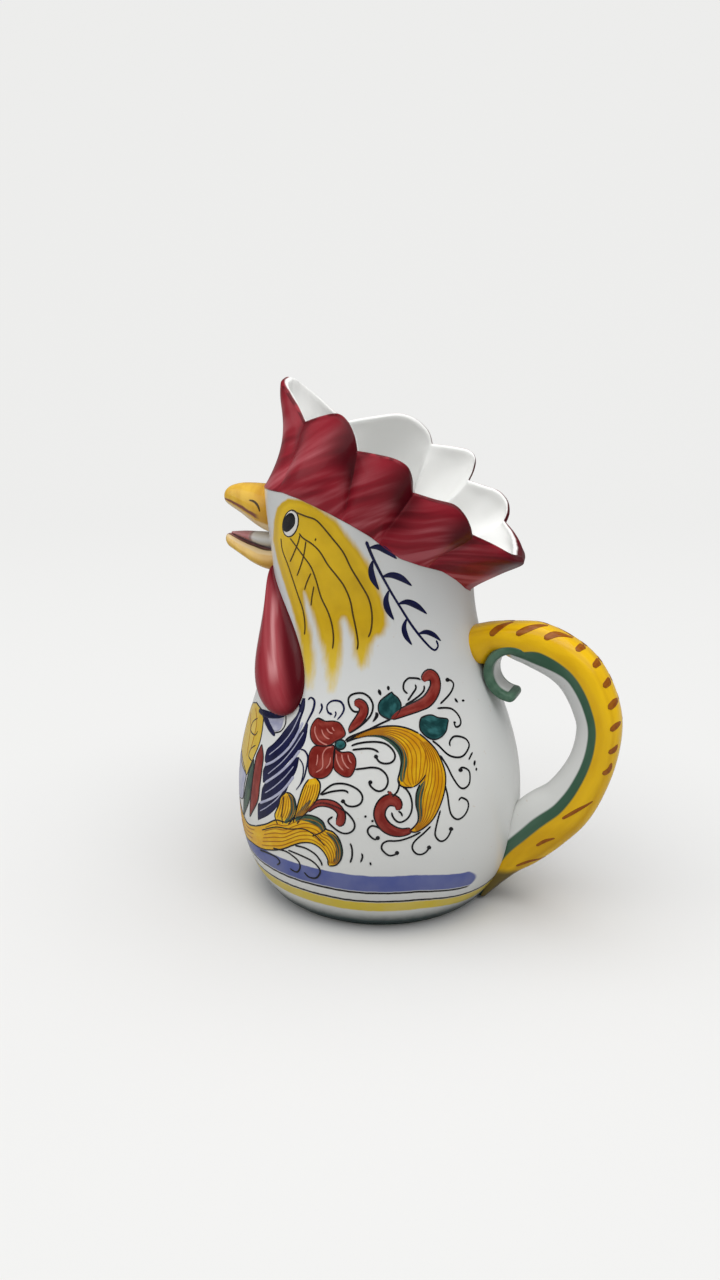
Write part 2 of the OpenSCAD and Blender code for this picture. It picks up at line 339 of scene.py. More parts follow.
# The yellow cheek's outline round the eye and down the neck, in pixels of the photo
cheekOutline = [
    (281, 503), (288, 498.5), (300, 499), (312, 503), (325, 511), (337, 521), (348, 535), (358, 548),
    (367, 561), (375, 577), (382, 595), (387, 612), (388, 625), (384, 635), (376, 638), (372, 645),
    (370, 655), (367, 665), (362, 668), (357, 665), (354, 655), (352, 640), (348, 628), (344, 618),
    (341, 622), (343, 640), (342, 655), (338, 675), (333, 690), (328, 690), (327, 675), (324, 655),
    (319, 640), (314, 620), (309, 605), (304, 592), (306, 610), (312, 635), (315, 655), (314, 672),
    (311, 688), (305, 690), (302, 672), (300, 650), (297, 628), (291, 605), (284, 583), (277, 560),
    (273, 540), (274, 520), (277, 508)]
# the turns from the beak between which the cheek is painted, and the distance that stands for none
cheekReach = {"front": 24, "back": 140, "none": -20}


def signedDistance(points, outline):
    # distance to an outline, positive inside it
    ring = np.array(outline, float)
    nearest = np.full(len(points), 1e9)
    inside = np.zeros(len(points), bool)
    for a, b in zip(ring, np.roll(ring, -1, 0)):
        edge, rel = b - a, points - a
        t = np.clip(rel @ edge / (edge @ edge), 0, 1)
        nearest = np.minimum(nearest, np.linalg.norm(rel - t[:, None] * edge, axis=1))
        crosses = (a[1] > points[:, 1]) != (b[1] > points[:, 1])
        rise = edge[1] if edge[1] else 1e-9
        inside ^= crosses & (points[:, 0] < a[0] + edge[0] * (points[:, 1] - a[1]) / rise)
    return np.where(inside, nearest, -nearest)


def paintCheek(bm):
    # each point's distance inside the cheek's outline, with the far side taken as the near one's mirror image
    spots = np.array([v.co for v in bm.verts]) / mm
    spots[:, 1] = -abs(spots[:, 1])
    distance = signedDistance(toPixel(spots), cheekOutline) * pixelSize
    turns = np.degrees(np.arctan2(-spots[:, 1], -spots[:, 0]))
    insideLayer, layer = bm.verts.layers.float["inside"], bm.verts.layers.float["cheek"]
    for v, d, turn in zip(bm.verts, distance, turns):
        painted = cheekReach["front"] < turn < cheekReach["back"] and not v[insideLayer]
        v[layer] = d if painted else cheekReach["none"]


paintCheek(bodyMesh)


def glazeWhite(paint):
    # warm white glaze with soft grey clouds and a few fine specks, greyed further up the neck and towards the
    # handle as painted shade
    greyAndShade = paint.step(paint.noise(14), 0.35, 0.7) * 0.3 + paint.step(paint.axis("Z"), 0.06, 0.13) * 0.65
    greyAndShade = greyAndShade + paint.step(paint.axis("X"), 0.0, 0.05) * 0.1
    speck = paint.step(paint.noise(420, detail=1.0), 0.74, 0.79) * 0.22
    return paint.layers("white", (greyAndShade, "greyWhiteAndShade"), (speck, "clay"))


# Bands round the foot, in metres: the lower edge, the upper edge and how soft both are
bands = {"yellow": (0.0127, 0.0183, 0.0004), "blue": (0.0249, 0.0333, 0.0003),
         "lowerLine": (0.01855, 0.01965, 0.00015), "upperLine": (0.0235, 0.0246, 0.00015)}
# The upper two end in a round edge before the handle; all droop towards it and sway a little
bandEnd = {"middle": 0.0288, "bow": 110, "near": 0.0572, "far": 0.0582}
bandDroop = {"from": 0.035, "to": 0.060, "depth": 0.0045, "sway": 0.0022, "rough": 0.0007}
# The dark teal at the foot, partly a dark edge and partly painted shade under the rounded foot, and the bare
# clay there, by height
footPaint = {"darkFull": 0.0030, "darkEnd": 0.0122, "bareFull": 0.00005, "bareEnd": 0.0002}


def cheekPaint(paint, x, z, streak):
    # the cheek's colour and its share: crisp round the eye, fading out down the neck and towards its back
    cheek = paint.fact("cheek") + (paint.noise(300) - 0.5) * 0.5
    deeper = paint.step(x, -0.040, -0.012) * 0.2 + paint.fall(z, 0.125, 0.175, 0.35)
    brushed = streak * 0.4 * paint.step(cheek, 0.5, 6.0)
    colour = paint.layers("cheek", (brushed + deeper, "cheekDeep"),
                          (paint.fall(cheek, 1.2, 3.2, 0.45), "cheekDeep"),
                          (paint.fall(z, 0.108, 0.142, 0.8), "cheekThin"))
    fading = paint.fall(z, 0.112, 0.150) + paint.step(x, -0.034, -0.008)
    fine = paint.noise(1.0, paint.stretched(paint.place(), (420, 420, 40)))
    hairs = (fine - 0.5) * fading * 2.5
    share = paint.step(cheek + hairs, -0.5 - fading, 0.55 + fading * 1.5)
    return colour, share * paint.step(z, 0.098, 0.122, 0.3, 1.0)


def makeBodyPaint():
    paint = Paint("glazedBody")
    x, z = paint.axis("X"), paint.axis("Z")
    streak = paint.step(paint.noise(60, detail=4.0), 0.3, 0.75)
    cheekColour, share = cheekPaint(paint, x, z, streak)
    colour = paint.blend(share, glazeWhite(paint), cheekColour)
    droop = paint.step(x, bandDroop["from"], bandDroop["to"], 0.0, bandDroop["depth"])
    sway = (paint.noise(22, detail=1.0) - 0.5) * bandDroop["sway"]
    rough = (paint.noise(260) - 0.5) * bandDroop["rough"]
    height = z + droop + sway + rough
    above = z + droop - bandEnd["middle"]
    outside = 1 - paint.fact("inside")
    front = paint.fall(x + above * above * bandEnd["bow"], bandEnd["near"], bandEnd["far"])

    def band(name):
        low, high, soft = bands[name]
        inner = paint.step(height, low - soft, low + soft) * paint.fall(height, high - soft, high + soft)
        return inner * outside

    wash = 0.90 + streak * 0.10
    # dark teal at the foot: a dark edge, deepened with painted shade under the rounded foot
    footEdgeAndShade = paint.fall(z + rough * 2, footPaint["darkFull"], footPaint["darkEnd"]) * outside
    bare = paint.fall(z, footPaint["bareFull"], footPaint["bareEnd"]) * outside
    colour = paint.layers(
        colour, (band("yellow") * wash, "bandYellow"), (band("blue") * front * wash, "bandBlue"),
        (band("lowerLine"), "inkBlack"), (band("upperLine") * front, "inkBlack"),
        (footEdgeAndShade * paint.step(z, 0.0001, 0.0003), "footDark"), (bare * 0.55, "clay"))
    return paint.finish(colour, 0.13 + paint.noise(40) * 0.1)


bodyTree = BVHTree.FromBMesh(bodyMesh)
finishPiece(bodyMesh, "glazedBody", "glazed_body", makeBodyPaint(), "body")


# Comb: both halves in one scalloped wall, red outside and white inside
comb = {"height": 48, "swell": 0.15, "rim": 3.2, "frontInward": -0.4, "rearInward": 0.9, "flare": 0.6,
        "hem": 0.6, "gap": 0.1, "stepsPerLobe": 30, "outer": 32, "rimSteps": 8, "inner": 20, "rimRise": 0.2}
# How the outer side is modelled: the lobes' bulge, the creases between them and the slanting folds
relieved = {"bowPower": 0.8, "fadePower": 1.15, "bulge": 1.1, "bulgePower": 1.4, "crease": 0.6,
            "creaseWide": 0.16, "creaseFoot": 0.3, "fold": 0.25, "foldCount": 1.5, "foldSlant": 0.9,
            "foldShift": 0.3}
# Its edge: how far it rolls inwards, and how much thicker it is near the front tip and the rear lip
edging = {"roll": 1.0, "rollStart": 0.78, "rollTip": 1.6, "thickTip": 0.6, "lip": 2.4, "lipAt": 0.8,
          "lipWide": 0.17, "frontTurn": 24, "rearTurn": 148, "rearSpan": 26}
# Each row is the turn of its foot, then its rim point as shares of the head's radius, that radius and the
# comb's height, then how far the wall bows out below it, as a share of that height
frontTip = [0, -0.92, 0, 1, -0.12]
notchOne = [56, -0.43, 0.54, 0.56, -0.04]
notchTwo = [97, 0.28, 1.07, 0.30, -0.04]
notchThree = [115, 0.70, 0.89, -0.07, -0.04]
notchFour = [142, 1.15, 0.62, -0.46, -0.03]
rearTip = [180, 1.48, 0, -0.72, 0.03]
combLobes = [
    [frontTip, [14, -0.85, 0.17, 0.96, -0.12], [28, -0.71, 0.31, 0.84, -0.09],
     [43, -0.55, 0.43, 0.68, -0.05], notchOne],
    [notchOne, [67, -0.21, 0.71, 0.60, 0.04], [79, 0.02, 0.86, 0.62, 0.06],
     [88, 0.16, 0.97, 0.55, 0.05], [94, 0.25, 1.05, 0.43, 0.02], notchTwo],
    [notchTwo, [102, 0.46, 1.12, 0.27, 0.04], [107, 0.63, 1.14, 0.23, 0.05],
     [111, 0.72, 1.09, 0.16, 0.04], [113, 0.73, 1.00, 0.05, 0.01], notchThree],
    [notchThree, [123, 0.88, 0.87, -0.13, 0.03], [131, 1.04, 0.82, -0.18, 0.04],
     [137, 1.13, 0.80, -0.27, 0.03], [140, 1.16, 0.73, -0.37, 0.01], notchFour],
    [notchFour, [155, 1.31, 0.43, -0.57, 0.01], [168, 1.43, 0.23, -0.67, 0.02], rearTip]]
combAcross = 2 * len(combLobes) * comb["stepsPerLobe"]
combAlong = comb["outer"] + comb["rimSteps"] + comb["inner"] + 3


def combRow(u):
    # u runs from the front tip down the near side to the rear lip and back up the far side
    half = 2 * u if u <= 0.5 else 2 - 2 * u
    lobe = min(len(combLobes) - 1, int(half * len(combLobes) + 1e-9))
    share = half * len(combLobes) - lobe
    return through(combLobes[lobe], share), lobe, share


def combInward(p, t):
    middle = t * max(comb["frontInward"] * jug["headR"], min(comb["rearInward"] * jug["headR"], p.x))
    return Vector((middle - p.x, -p.y, 0)).normalized()


def combFoot(row, outwards, below=0):
    turn, s = math.radians(row[0]), redS(row[0])
    r = bodyR(s) + outwards
    return Vector((-r * math.cos(turn), r * math.sin(turn), s - below))


def combTip(turn):
    # how near a row lies to the front tip or to the rear lip, whose edges are thicker
    front = (edging["frontTurn"] - turn) / edging["frontTurn"]
    return max(ease(front), ease((turn - edging["rearTurn"]) / edging["rearSpan"]))


def combSwell(lobe, share, t):
    # each lobe bulges, with a crease beside each notch and a soft fold that runs slantwise down
    fade = math.sin(math.pi * t ** relieved["fadePower"])
    fromNotch = min(share if lobe else 1, (1 - share) if lobe < len(combLobes) - 1 else 1)
    deep = mix(relieved["creaseFoot"], 1, t) * fade
    crease = relieved["crease"] * math.exp(-(fromNotch / relieved["creaseWide"]) ** 2) * deep
    if not lobe:
        return -crease
    bulge = relieved["bulge"] * math.sin(math.pi * share) ** relieved["bulgePower"] * fade
    slant = share * relieved["foldCount"] - relieved["foldSlant"] * t + relieved["foldShift"] * lobe
    return bulge - crease + relieved["fold"] * math.sin(2 * math.pi * slant) * math.sin(math.pi * t)


def combOuter(row, lobe, share, t):
    foot = combFoot(row, comb["swell"])
    rim = Vector((row[1] * jug["headR"], row[2] * jug["headR"], jug["foreheadS"] + row[3] * comb["height"]))
    p = foot.lerp(rim, t)
    lag = comb["flare"] * t * (1 - t) ** 3
    p.x -= (rim.x - foot.x) * lag
    p.y -= (rim.y - foot.y) * lag
    hollow = row[4] * comb["height"] * math.sin(math.pi * t ** relieved["bowPower"])
    tip = combTip(row[0])
    rolled = max(0, (t - edging["rollStart"]) / (1 - edging["rollStart"]))
    roll = edging["roll"] * (1 + edging["rollTip"] * tip) * rolled ** 2
    lip = edging["lip"] * tip * (row[0] > 90) * math.exp(-((t - edging["lipAt"]) / edging["lipWide"]) ** 2)
    return p - combInward(p, t) * (hollow + combSwell(lobe, share, t) + lip - roll)


def combPoint(u, w):
    # up the outer side from a hem laid over the body's edge, over the rim and down the inner side
    row, lobe, share = combRow(u)
    k = round(w * combAlong) % combAlong - 1
    thick = comb["rim"] * (1 + edging["thickTip"] * combTip(row[0]))
    if k < 0:
        p = combFoot(row, comb["swell"], comb["hem"])
    elif k <= comb["outer"]:
        p = combOuter(row, lobe, share, k / comb["outer"])
    elif k <= comb["outer"] + comb["rimSteps"]:
        a = math.pi * (k - comb["outer"]) / comb["rimSteps"]
        top = combOuter(row, lobe, share, 1)
        inward = combInward(top, 1)
        p = top + inward * thick * (1 - math.cos(a)) / 2 + Vector((0, 0, comb["rim"] / 2 * math.sin(a)))
    else:
        t = 1 - (k - comb["outer"] - comb["rimSteps"]) / comb["inner"]
        if t < 0.01:
            p = combFoot(row, -jug["wall"] - comb["gap"], comb["hem"] if t < -0.01 else 0)
        else:
            p = combOuter(row, lobe, share, t)
            p = p + combInward(p, t) * mix(jug["wall"], thick, t)
    side = -1 if u <= 0.5 else 1
    return leaning(p.x, side * p.y, p.z)


def combRise(u, w):
    # 0 at the foot, 1 at the rim, 2 at the foot of the inner side
    k = max(0, round(w * combAlong) % combAlong - 1)
    if k <= comb["outer"]:
        return k / comb["outer"]
    if k <= comb["outer"] + comb["rimSteps"]:
        return 1 + comb["rimRise"] * (k - comb["outer"]) / comb["rimSteps"]
    return mix(1 + comb["rimRise"], 2, (k - comb["outer"] - comb["rimSteps"]) / comb["inner"])


def combCrease(u, w):
    lobe, share = combRow(u)[1:]
    return math.exp(-(min(share if lobe else 1, 1 - share) / 0.12) ** 2)


def combBehind(u, w):
    # how far back on its own lobe a point lies
    lobe, share = combRow(u)[1:]
    return share if lobe else 0.0


def makeCombPaint():
    paint = Paint("combRed", shine=0.22)
    rise, crease, behind = paint.fact("rise"), paint.fact("crease"), paint.fact("behind")
    brushed = paint.noise(1.0, paint.skewed(70, 2.0, -14), 4.0)
    broad = paint.noise(1.0, paint.skewed(26, 1.5, -6), 2.0)
    # painted highlights: pale streaks that follow the brush marks, strongest low on each lobe
    paintedHighlight = paint.step(brushed * 0.3 + broad * 0.7, 0.46, 0.62) * paint.step(rise, 0.55, 0.95, 0.9, 0.12)
    # painted shade darkens the creases and the back of each lobe's top, and a dark line runs here and there
    # along the rim
    creaseShade = paint.step(crease, 0.1, 0.9) * paint.step(rise, 0.3, 0.8) * 0.5
    lobeShade = paint.step(behind, 0.25, 0.75) * paint.step(rise, 0.30, 0.75) * 0.95
    line = paint.step(paint.noise(120), 0.40, 0.52) * 0.8
    inner = paint.step(rise + (paint.noise(150) - 0.5) * 0.04, 1.09, 1.13)
    rim = paint.step(rise, 1.0, 1.04) * (1 - inner)
    red = paint.layers("combRed", (paintedHighlight, "combPaleAndHighlight"), (paint.fall(broad, 0.34, 0.50, 0.55), "combDark"),
                       (creaseShade, "combDark"), (lobeShade, "combDark"), (rim * line, "combDark"))
    # the inside is painted a brighter white than the body's glaze, as painted light for the light that
    # bounces round within the comb
    white = paint.layers("innerWhite", (paint.noise(20) * 0.2, "white"))
    return paint.finish(paint.blend(inner, red, white), 0.24 + paint.noise(60) * 0.14, 0.10)


combMesh = newMesh(["rise", "crease", "behind"])
wrapGrid(combMesh, combAcross, combAlong, combPoint,
         {"rise": combRise, "crease": combCrease, "behind": combBehind})
finishPiece(combMesh, "combWall", "comb_red", makeCombPaint(), "comb_left", "comb_right")


# Beak and tongue: each row is the share of the reach, of the half-width, and the top and bottom heights as
# shares of the piece's depth
beak = {"reach": 28.5, "width": 27, "mouthS": 175, "gape": 15, "lowerDepth": 12, "lowerDrop": 0.07,
        "lowerWide": 0.88, "tongueReach": 0.9, "tongueWide": 0.55, "sunk": 2, "gap": 0.3,
        "sides": 48, "rings": 40}
beak["upperDepth"] = jug["foreheadS"] - beak["mouthS"]
beak["lowerTop"] = beak["mouthS"] - beak["lowerDrop"] * beak["gape"]
upperRows = [[0, 1, 0.96, -0.06], [0.2, 0.9, 0.99, 0.02], [0.42, 0.74, 1.01, 0.17],
             [0.65, 0.56, 1.01, 0.36], [0.85, 0.38, 0.96, 0.50], [0.96, 0.22, 0.87, 0.59],
             [1, 0.07, 0.77, 0.66]]
lowerRows = [[0, 1, -0.62, -1.56], [0.2, 0.93, -0.6, -1.45], [0.4, 0.82, -0.48, -1.27],
             [0.6, 0.67, -0.33, -1.02], [0.8, 0.51, -0.15, -0.76], [0.93, 0.37, -0.02, -0.60],
             [1, 0.18, -0.06, -0.46]]
tongueRows = [[0, 1, 0.02, -0.57], [0.25, 0.95, 0.05, -0.54], [0.5, 0.78, 0.07, -0.38],
              [0.75, 0.52, 0.08, -0.2], [1, 0.14, 0.05, -0.03]]


def beakRing(w):
    # the ring's number, with a closed end before the first and after the last, and its share of the reach
    k = round(w * (beak["rings"] + 2)) - 1
    return k, min(1.0, max(0.0, k / beak["rings"]))


def beakPoint(rows, reach, width, baseS, depth):
    def place(u, w):
        k, along = beakRing(w)
        row = through(rows, along)
        share = 0 if k < 0 or k > beak["rings"] else 1
        a = 2 * math.pi * u
        y = share * row[1] * width / 2 * math.cos(a)
        top, bottom = baseS + row[2] * depth, baseS + row[3] * depth
        s = (top + bottom) / 2 + share * (top - bottom) / 2 * math.sin(a)
        out = jug["headR"] + row[0] * reach
        x = bodyX(y, s, beak["sunk"]) if k <= 0 else max(out, bodyX(y, s, beak["gap"]))
        return leaning(-x, y, s)
    return place


def beakPiece(name, slot, material, node, *form):
    bm = newMesh(["height", "reach"])
    wrapGrid(bm, beak["sides"], beak["rings"] + 2, beakPoint(*form),
             {"height": lambda u, w: math.sin(2 * math.pi * u), "reach": lambda u, w: beakRing(w)[1]})
    tree = BVHTree.FromBMesh(bm)
    finishPiece(bm, name, slot, material, node)
    return tree


def makeBeakPaint(name, lipUp):
    # the edge by the mouth is pale, with a brown line beside it
    paint = Paint(name)
    height, reach = paint.fact("height") * (1 if lipUp else -1), paint.fact("reach")
    streak = paint.step(paint.noise(1.0, paint.unrolled(6, 10)), 0.35, 0.7)
    colour = paint.layers("beak", (streak * 0.35, "beakDeep"),
                          (paint.fall(reach, 0.0, 0.35, 0.55), "beakDeep"))
    wobble = (paint.noise(200) - 0.5) * 0.16
    edge, fineEdge = height + wobble, height + wobble * 0.3
    if lipUp:
        covers = [(paint.step(height, -0.4, 0.5) * 0.45, "beakPale"),
                  (paint.step(edge, 0.50, 0.66) * 0.9, "beakPale"),
                  (paint.step(fineEdge, 0.86, 0.89) * 0.9, "inkBrown"),
                  (paint.step(fineEdge, 0.92, 0.94), "tonguePink")]
    else:
        line = paint.step(edge, 0.16, 0.24) * paint.fall(edge, 0.36, 0.46) * paint.step(reach, 0.1, 0.2)
        covers = [(line, "lipBrown"), (paint.step(edge, 0.46, 0.60) * 0.9, "beakPale")]
    return paint.finish(paint.layers(colour, *covers), 0.16 + paint.noise(60) * 0.1)


def makeTonguePaint():
    # pink in front and pale at the back, greyed there as painted shade deep in the mouth, with a brown line
    # between
    paint = Paint("tonguePink")
    reach = paint.fact("reach")
    cloud = paint.step(paint.noise(90), 0.4, 0.65)
    back = paint.fall(reach + (paint.noise(140) - 0.5) * 0.1, 0.42, 0.58)
    line = paint.fall(paint.unsigned(reach - 0.5), 0.0, 0.05, 0.5)
    colour = paint.layers("tonguePink", (cloud * 0.4, "combPaleAndHighlight"), (back, "tongueShadeGrey"), (line, "inkBrown"))
    return paint.finish(colour, 0.2 + cloud * 0.05)


upperTree = beakPiece("upperBeak", "beak_yellow", makeBeakPaint("upperBeak", False), "beak_upper",
                      upperRows, beak["reach"], beak["width"], beak["mouthS"], beak["upperDepth"])
beakPiece("lowerBeak", "beak_yellow", makeBeakPaint("lowerBeak", True), "beak_lower", lowerRows,
          beak["reach"], beak["lowerWide"] * beak["width"], beak["lowerTop"], beak["lowerDepth"])
beakPiece("tongueSlab", "tongue_pink", makeTonguePaint(), "tongue", tongueRows,
          beak["tongueReach"] * beak["reach"], beak["tongueWide"] * beak["width"], beak["lowerTop"],
          beak["lowerDepth"])


# Wattles: domed pear-shaped pads
wattle = {"height": 63, "width": 41, "thick": 11, "topTurn": 26, "endTurn": 64, "slant": 0.75,
          "topS": beak["mouthS"] - 0.92 * beak["gape"], "middle": 0.62, "curve": 0.42, "full": 1.12,
          "point": 0.6, "sunk": 1, "around": 72, "rings": 30, "back": 6}
wattleRings = wattle["back"] + wattle["rings"]


def wattlePoint(side):
    def place(u, w):
        k = round(w * wattleRings)
        a = 2 * math.pi * u
        raised = k > wattle["back"]
        q = math.radians(90 * (k - wattle["back"]) / wattle["rings"])
        share = math.cos(q) if raised else k / wattle["back"]
        if k == wattleRings:
            share = 0
        along = 0.5 - math.cos(a) / 2
        down = mix(wattle["middle"], along, share)
        s = wattle["topS"] - down * wattle["height"]
        across = share * wattle["width"] / 2 * math.sin(a) * wattle["full"] * along ** wattle["curve"]
        turn = mix(wattle["topTurn"], wattle["endTurn"], down ** wattle["slant"])
        out = wattle["thick"] * mix(wattle["point"], 1, down) * math.sin(q) if raised else -wattle["sunk"]
        return onTurn(side * (turn + math.degrees(across / bodyR(s))), bodyR(s) + out, s)
    return place


def makeWattlePaint():
    # painted highlights as long pale strokes down the middle, and painted shade towards the neck's side
    paint = Paint("wattleRed", shine=0.22)
    edge, over, z = paint.fact("edge"), paint.fact("over"), paint.axis("Z")
    broad = paint.noise(1.0, paint.node("ShaderNodeCombineXYZ", links={0: over * 5.5, 1: z * 26}))
    core = paint.fall(paint.unsigned(over - 0.42), 0.05, 0.55) * paint.step(edge, 0.1, 0.5)
    core = core * (0.40 + paint.step(broad, 0.40, 0.60) * 0.3) * paint.step(z, 0.094, 0.122, 0.45, 1.0)
    # a painted highlight runs straight down, across the pad's slant
    shine = paint.fall(paint.unsigned(over - (z - 0.080) * 10 + (broad - 0.5) * 0.3), 0.0, 0.15)
    shine = shine * paint.step(z, 0.110, 0.120) * paint.fall(z, 0.140, 0.152)
    shaded = paint.step(over - (z - 0.112) * 8, 0.42, 0.75) * 0.9
    colour = paint.layers("combRed", (core, "wattleHighlight"), (shine * 0.8, "highlightPink"), (shaded, "combDark"),
                          (paint.fall(edge, 0.0, 0.4, 0.7), "combDark"))
    return paint.finish(colour, 0.22 + paint.noise(60) * 0.06)


def wattleEdge(u, w):
    # 0 on the pad's rim and behind it, 1 on its crown
    return max(0.0, (round(w * wattleRings) - wattle["back"]) / wattle["rings"])


def wattleOver(u, w):
    # from -1 beside the beak to 1 at the side towards the handle
    return math.cos(math.pi / 2 * wattleEdge(u, w)) * math.sin(2 * math.pi * u)


wattlePaint = makeWattlePaint()
for name, side, node in (("wattleLeft", 1, "wattle_left"), ("wattleRight", -1, "wattle_right")):
    wattleMesh = newMesh(["edge", "over"])
    wrapGrid(wattleMesh, wattle["around"], wattleRings, wattlePoint(side),
             {"edge": wattleEdge, "over": wattleOver})
    finishPiece(wattleMesh, name, "wattle_red", wattlePaint, node)


# Handle: each row is the strap's middle line as shares of its reach and top height, then its thickness and
# width as shares of the strap's
grip = {"reach": 107.6, "topS": 125, "width": 20.5, "thick": 20.5, "square": 0.82, "sunk": 1.5, "gap": 0.4,
        "stations": 130, "sides": 64, "lid": 3, "nudge": 0.004}
gripRings = grip["stations"] + 2 * grip["lid"]
gripRows = [[0.474, 0.986, 1.00, 1.06], [0.534, 1.015, 0.72, 1.02], [0.595, 1.021, 0.71, 1.00],
            [0.664, 1.011, 0.89, 1.00], [0.743, 0.995, 1.02, 1.00], [0.846, 0.952, 1.04, 1.00],
            [0.922, 0.892, 1.05, 1.00], [0.980, 0.792, 1.02, 1.00], [1.000, 0.690, 0.98, 1.00],
            [0.966, 0.549, 1.03, 1.00], [0.876, 0.405, 1.22, 1.02], [0.761, 0.311, 1.38, 1.08],
            [0.640, 0.205, 1.24, 1.10], [0.574, 0.112, 0.75, 1.02], [0.506, 0.002, 0.26, 0.86]]


def squared(v, power):
    # turns a circle's sine or cosine into that of a squarer section
    return math.copysign(abs(v) ** power, v)


def gripMiddle(u):
    row = through(gripRows, u)
    return Vector((row[0] * grip["reach"], row[1] * grip["topS"]))


def gripPoint(u, w):
    k = round(w * gripRings) - grip["lid"]
    v = min(1, max(0, k / grip["stations"]))
    share = 1 - max(0, -k, k - grip["stations"]) / grip["lid"]
    row, p = through(gripRows, v), gripMiddle(v)
    d = gripMiddle(min(1, v + grip["nudge"])) - gripMiddle(max(0, v - grip["nudge"]))
    normal = Vector((-d.y, d.x)).normalized()
    a = -2 * math.pi * u
    y = share * row[3] * grip["width"] / 2 * squared(math.cos(a), grip["square"])
    out = share * row[2] * grip["thick"] / 2 * squared(math.sin(a), grip["square"])
    s, x = p.y + normal.y * out, p.x + normal.x * out
    x = bodyX(y, s, grip["sunk"]) if k <= 0 else max(x, bodyX(y, s, grip["gap"]))
    return leaning(x, y, s)


# Scroll: a strip rolled from the strap's root, which narrows from "wide" to "width" along its length
scroll = {"r": 14, "thick": 5, "start": 48, "end": 263, "width": 0.9 * grip["width"],
          "wide": 1.06 * grip["width"], "narrowFrom": 0.35, "narrowOver": 0.5, "rootIn": 2.2,
          "rootOver": 0.16, "tipIn": 4, "square": 0.55, "stations": 72, "sides": 32, "nose": 6}
scroll["s"] = grip["topS"] - 0.92 * scroll["r"]
scroll["x"] = bodyR(scroll["s"]) + grip["gap"] + scroll["r"]
scrollRings = scroll["stations"] + scroll["nose"] + 1


def scrollPoint(u, w):
    k = round(w * scrollRings)
    along = min(1, max(0, k - 1) / scroll["stations"])
    turn = math.radians(mix(scroll["start"], scroll["end"], along))
    nose = math.radians(90 * max(0, k - 1 - scroll["stations"]) / scroll["nose"])
    share = 0 if k in (0, scrollRings) else 1
    a = 2 * math.pi * u
    # widest beside the strap, so that its green side runs on from the strap's stripe
    width = mix(scroll["wide"], scroll["width"], ease((along - scroll["narrowFrom"]) / scroll["narrowOver"]))
    width -= scroll["rootIn"] * (1 - ease(along / scroll["rootOver"]))
    half = width / 2 - scroll["tipIn"] * (1 - math.cos(nose))
    y = share * squared(math.cos(a), scroll["square"]) * half
    out = share * squared(math.sin(a), scroll["square"]) * (scroll["thick"] / 2 * math.cos(nose))
    r = scroll["r"] - scroll["thick"] / 2 + out
    forward = math.sin(nose) * scroll["thick"] / 2
    x = scroll["x"] + r * math.cos(turn) - forward * math.sin(turn)
    s = scroll["s"] + r * math.sin(turn) + forward * math.cos(turn)
    return leaning(x, y, s)


def makeHandlePaint():
    # yellow outside, a green stripe along each side and white inside
    paint = Paint("handleYellow")
    outer, along = paint.fact("outer"), paint.fact("along")
    x, z = paint.axis("X"), paint.axis("Z")
    wobble = (paint.noise(35, detail=2.0) - 0.5) * 0.10
    streak = paint.step(paint.noise(1.0, paint.unrolled(9, 7), 4.0), 0.32, 0.72)
    # the strap's sides are painted deeper than its outer face, as painted shade
    yellow = paint.layers("handleYellow", (streak * 0.45, "handleDeep"),
                          (paint.fall(outer, 0.05, 0.4, 0.3), "handleDeep"))
    green = paint.layers("handleGreen", (streak * 0.5, "scrollGreen"))
    # the stripe starts behind the scroll and is widest where the scroll leaves the strap
    side, near, upper = outer + wobble, paint.fall(along, 0.29, 0.43), paint.step(z, 0.085, 0.095)
    colour = paint.blend(paint.step(side + near * 0.24, -0.40, -0.32), glazeWhite(paint), green)
    start = paint.fall(x, 0.064, 0.079) * upper
    colour = paint.blend(paint.step(side + start * 0.40, -0.04, 0.04), colour, yellow)
    colour = paint.blend(paint.fall(x, 0.0625, 0.0650) * upper, colour, yellow)
    # painted shade along the soft ridge between the outer face and the side, deeper colour low down, and a
    # dark end by the bands
    ridgeShade = paint.fall(paint.unsigned(outer - 0.72), 0.0, 0.12, 0.35)
    low = paint.fall(z, 0.035, 0.075, 0.3) * paint.step(outer, 0.0, 0.3)
    end = paint.fall(z, 0.0155, 0.0200, 0.8)
    colour = paint.layers(colour, (ridgeShade, "handleDeep"), (low * streak, "handleDeep"), (end, "footDark"))
    return paint.finish(colour, 0.13 + paint.noise(50) * 0.1, 0.07)


def makeScrollPaint():
    # green all over but for the white edge of the inner face
    paint = Paint("scrollGreen")
    side, along = paint.fact("side") + (paint.noise(60) - 0.5) * 0.2, paint.fact("along")
    cloud = paint.step(paint.noise(1.0, paint.unrolled(5, 9)), 0.35, 0.7)
    green = paint.layers("scrollGreen", (cloud * 0.6, "handleGreen"),
                         (paint.fall(along, 0.0, 0.4, 0.8), "handleGreen"))
    covered = paint.step(side + paint.step(along, 0.89, 0.93) * 3, -0.98, -0.82)
    return paint.finish(paint.blend(covered, glazeWhite(paint), green), 0.13 + paint.noise(50) * 0.1)


gripMesh = newMesh(["outer", "along"])
wrapGrid(gripMesh, grip["sides"], gripRings, gripPoint,
         {"outer": lambda u, w: squared(math.sin(-2 * math.pi * u), grip["square"]), "along": lambda u, w: w})
gripTree = BVHTree.FromBMesh(gripMesh)
finishPiece(gripMesh, "handleStrap", "handle_yellow", makeHandlePaint(), "handle")
scrollMesh = newMesh(["side", "along"])
wrapGrid(scrollMesh, scroll["sides"], scrollRings, scrollPoint,
         {"side": lambda u, w: math.sin(2 * math.pi * u), "along": lambda u, w: w})
finishPiece(scrollMesh, "handleScroll", "handle_yellow", makeScrollPaint())


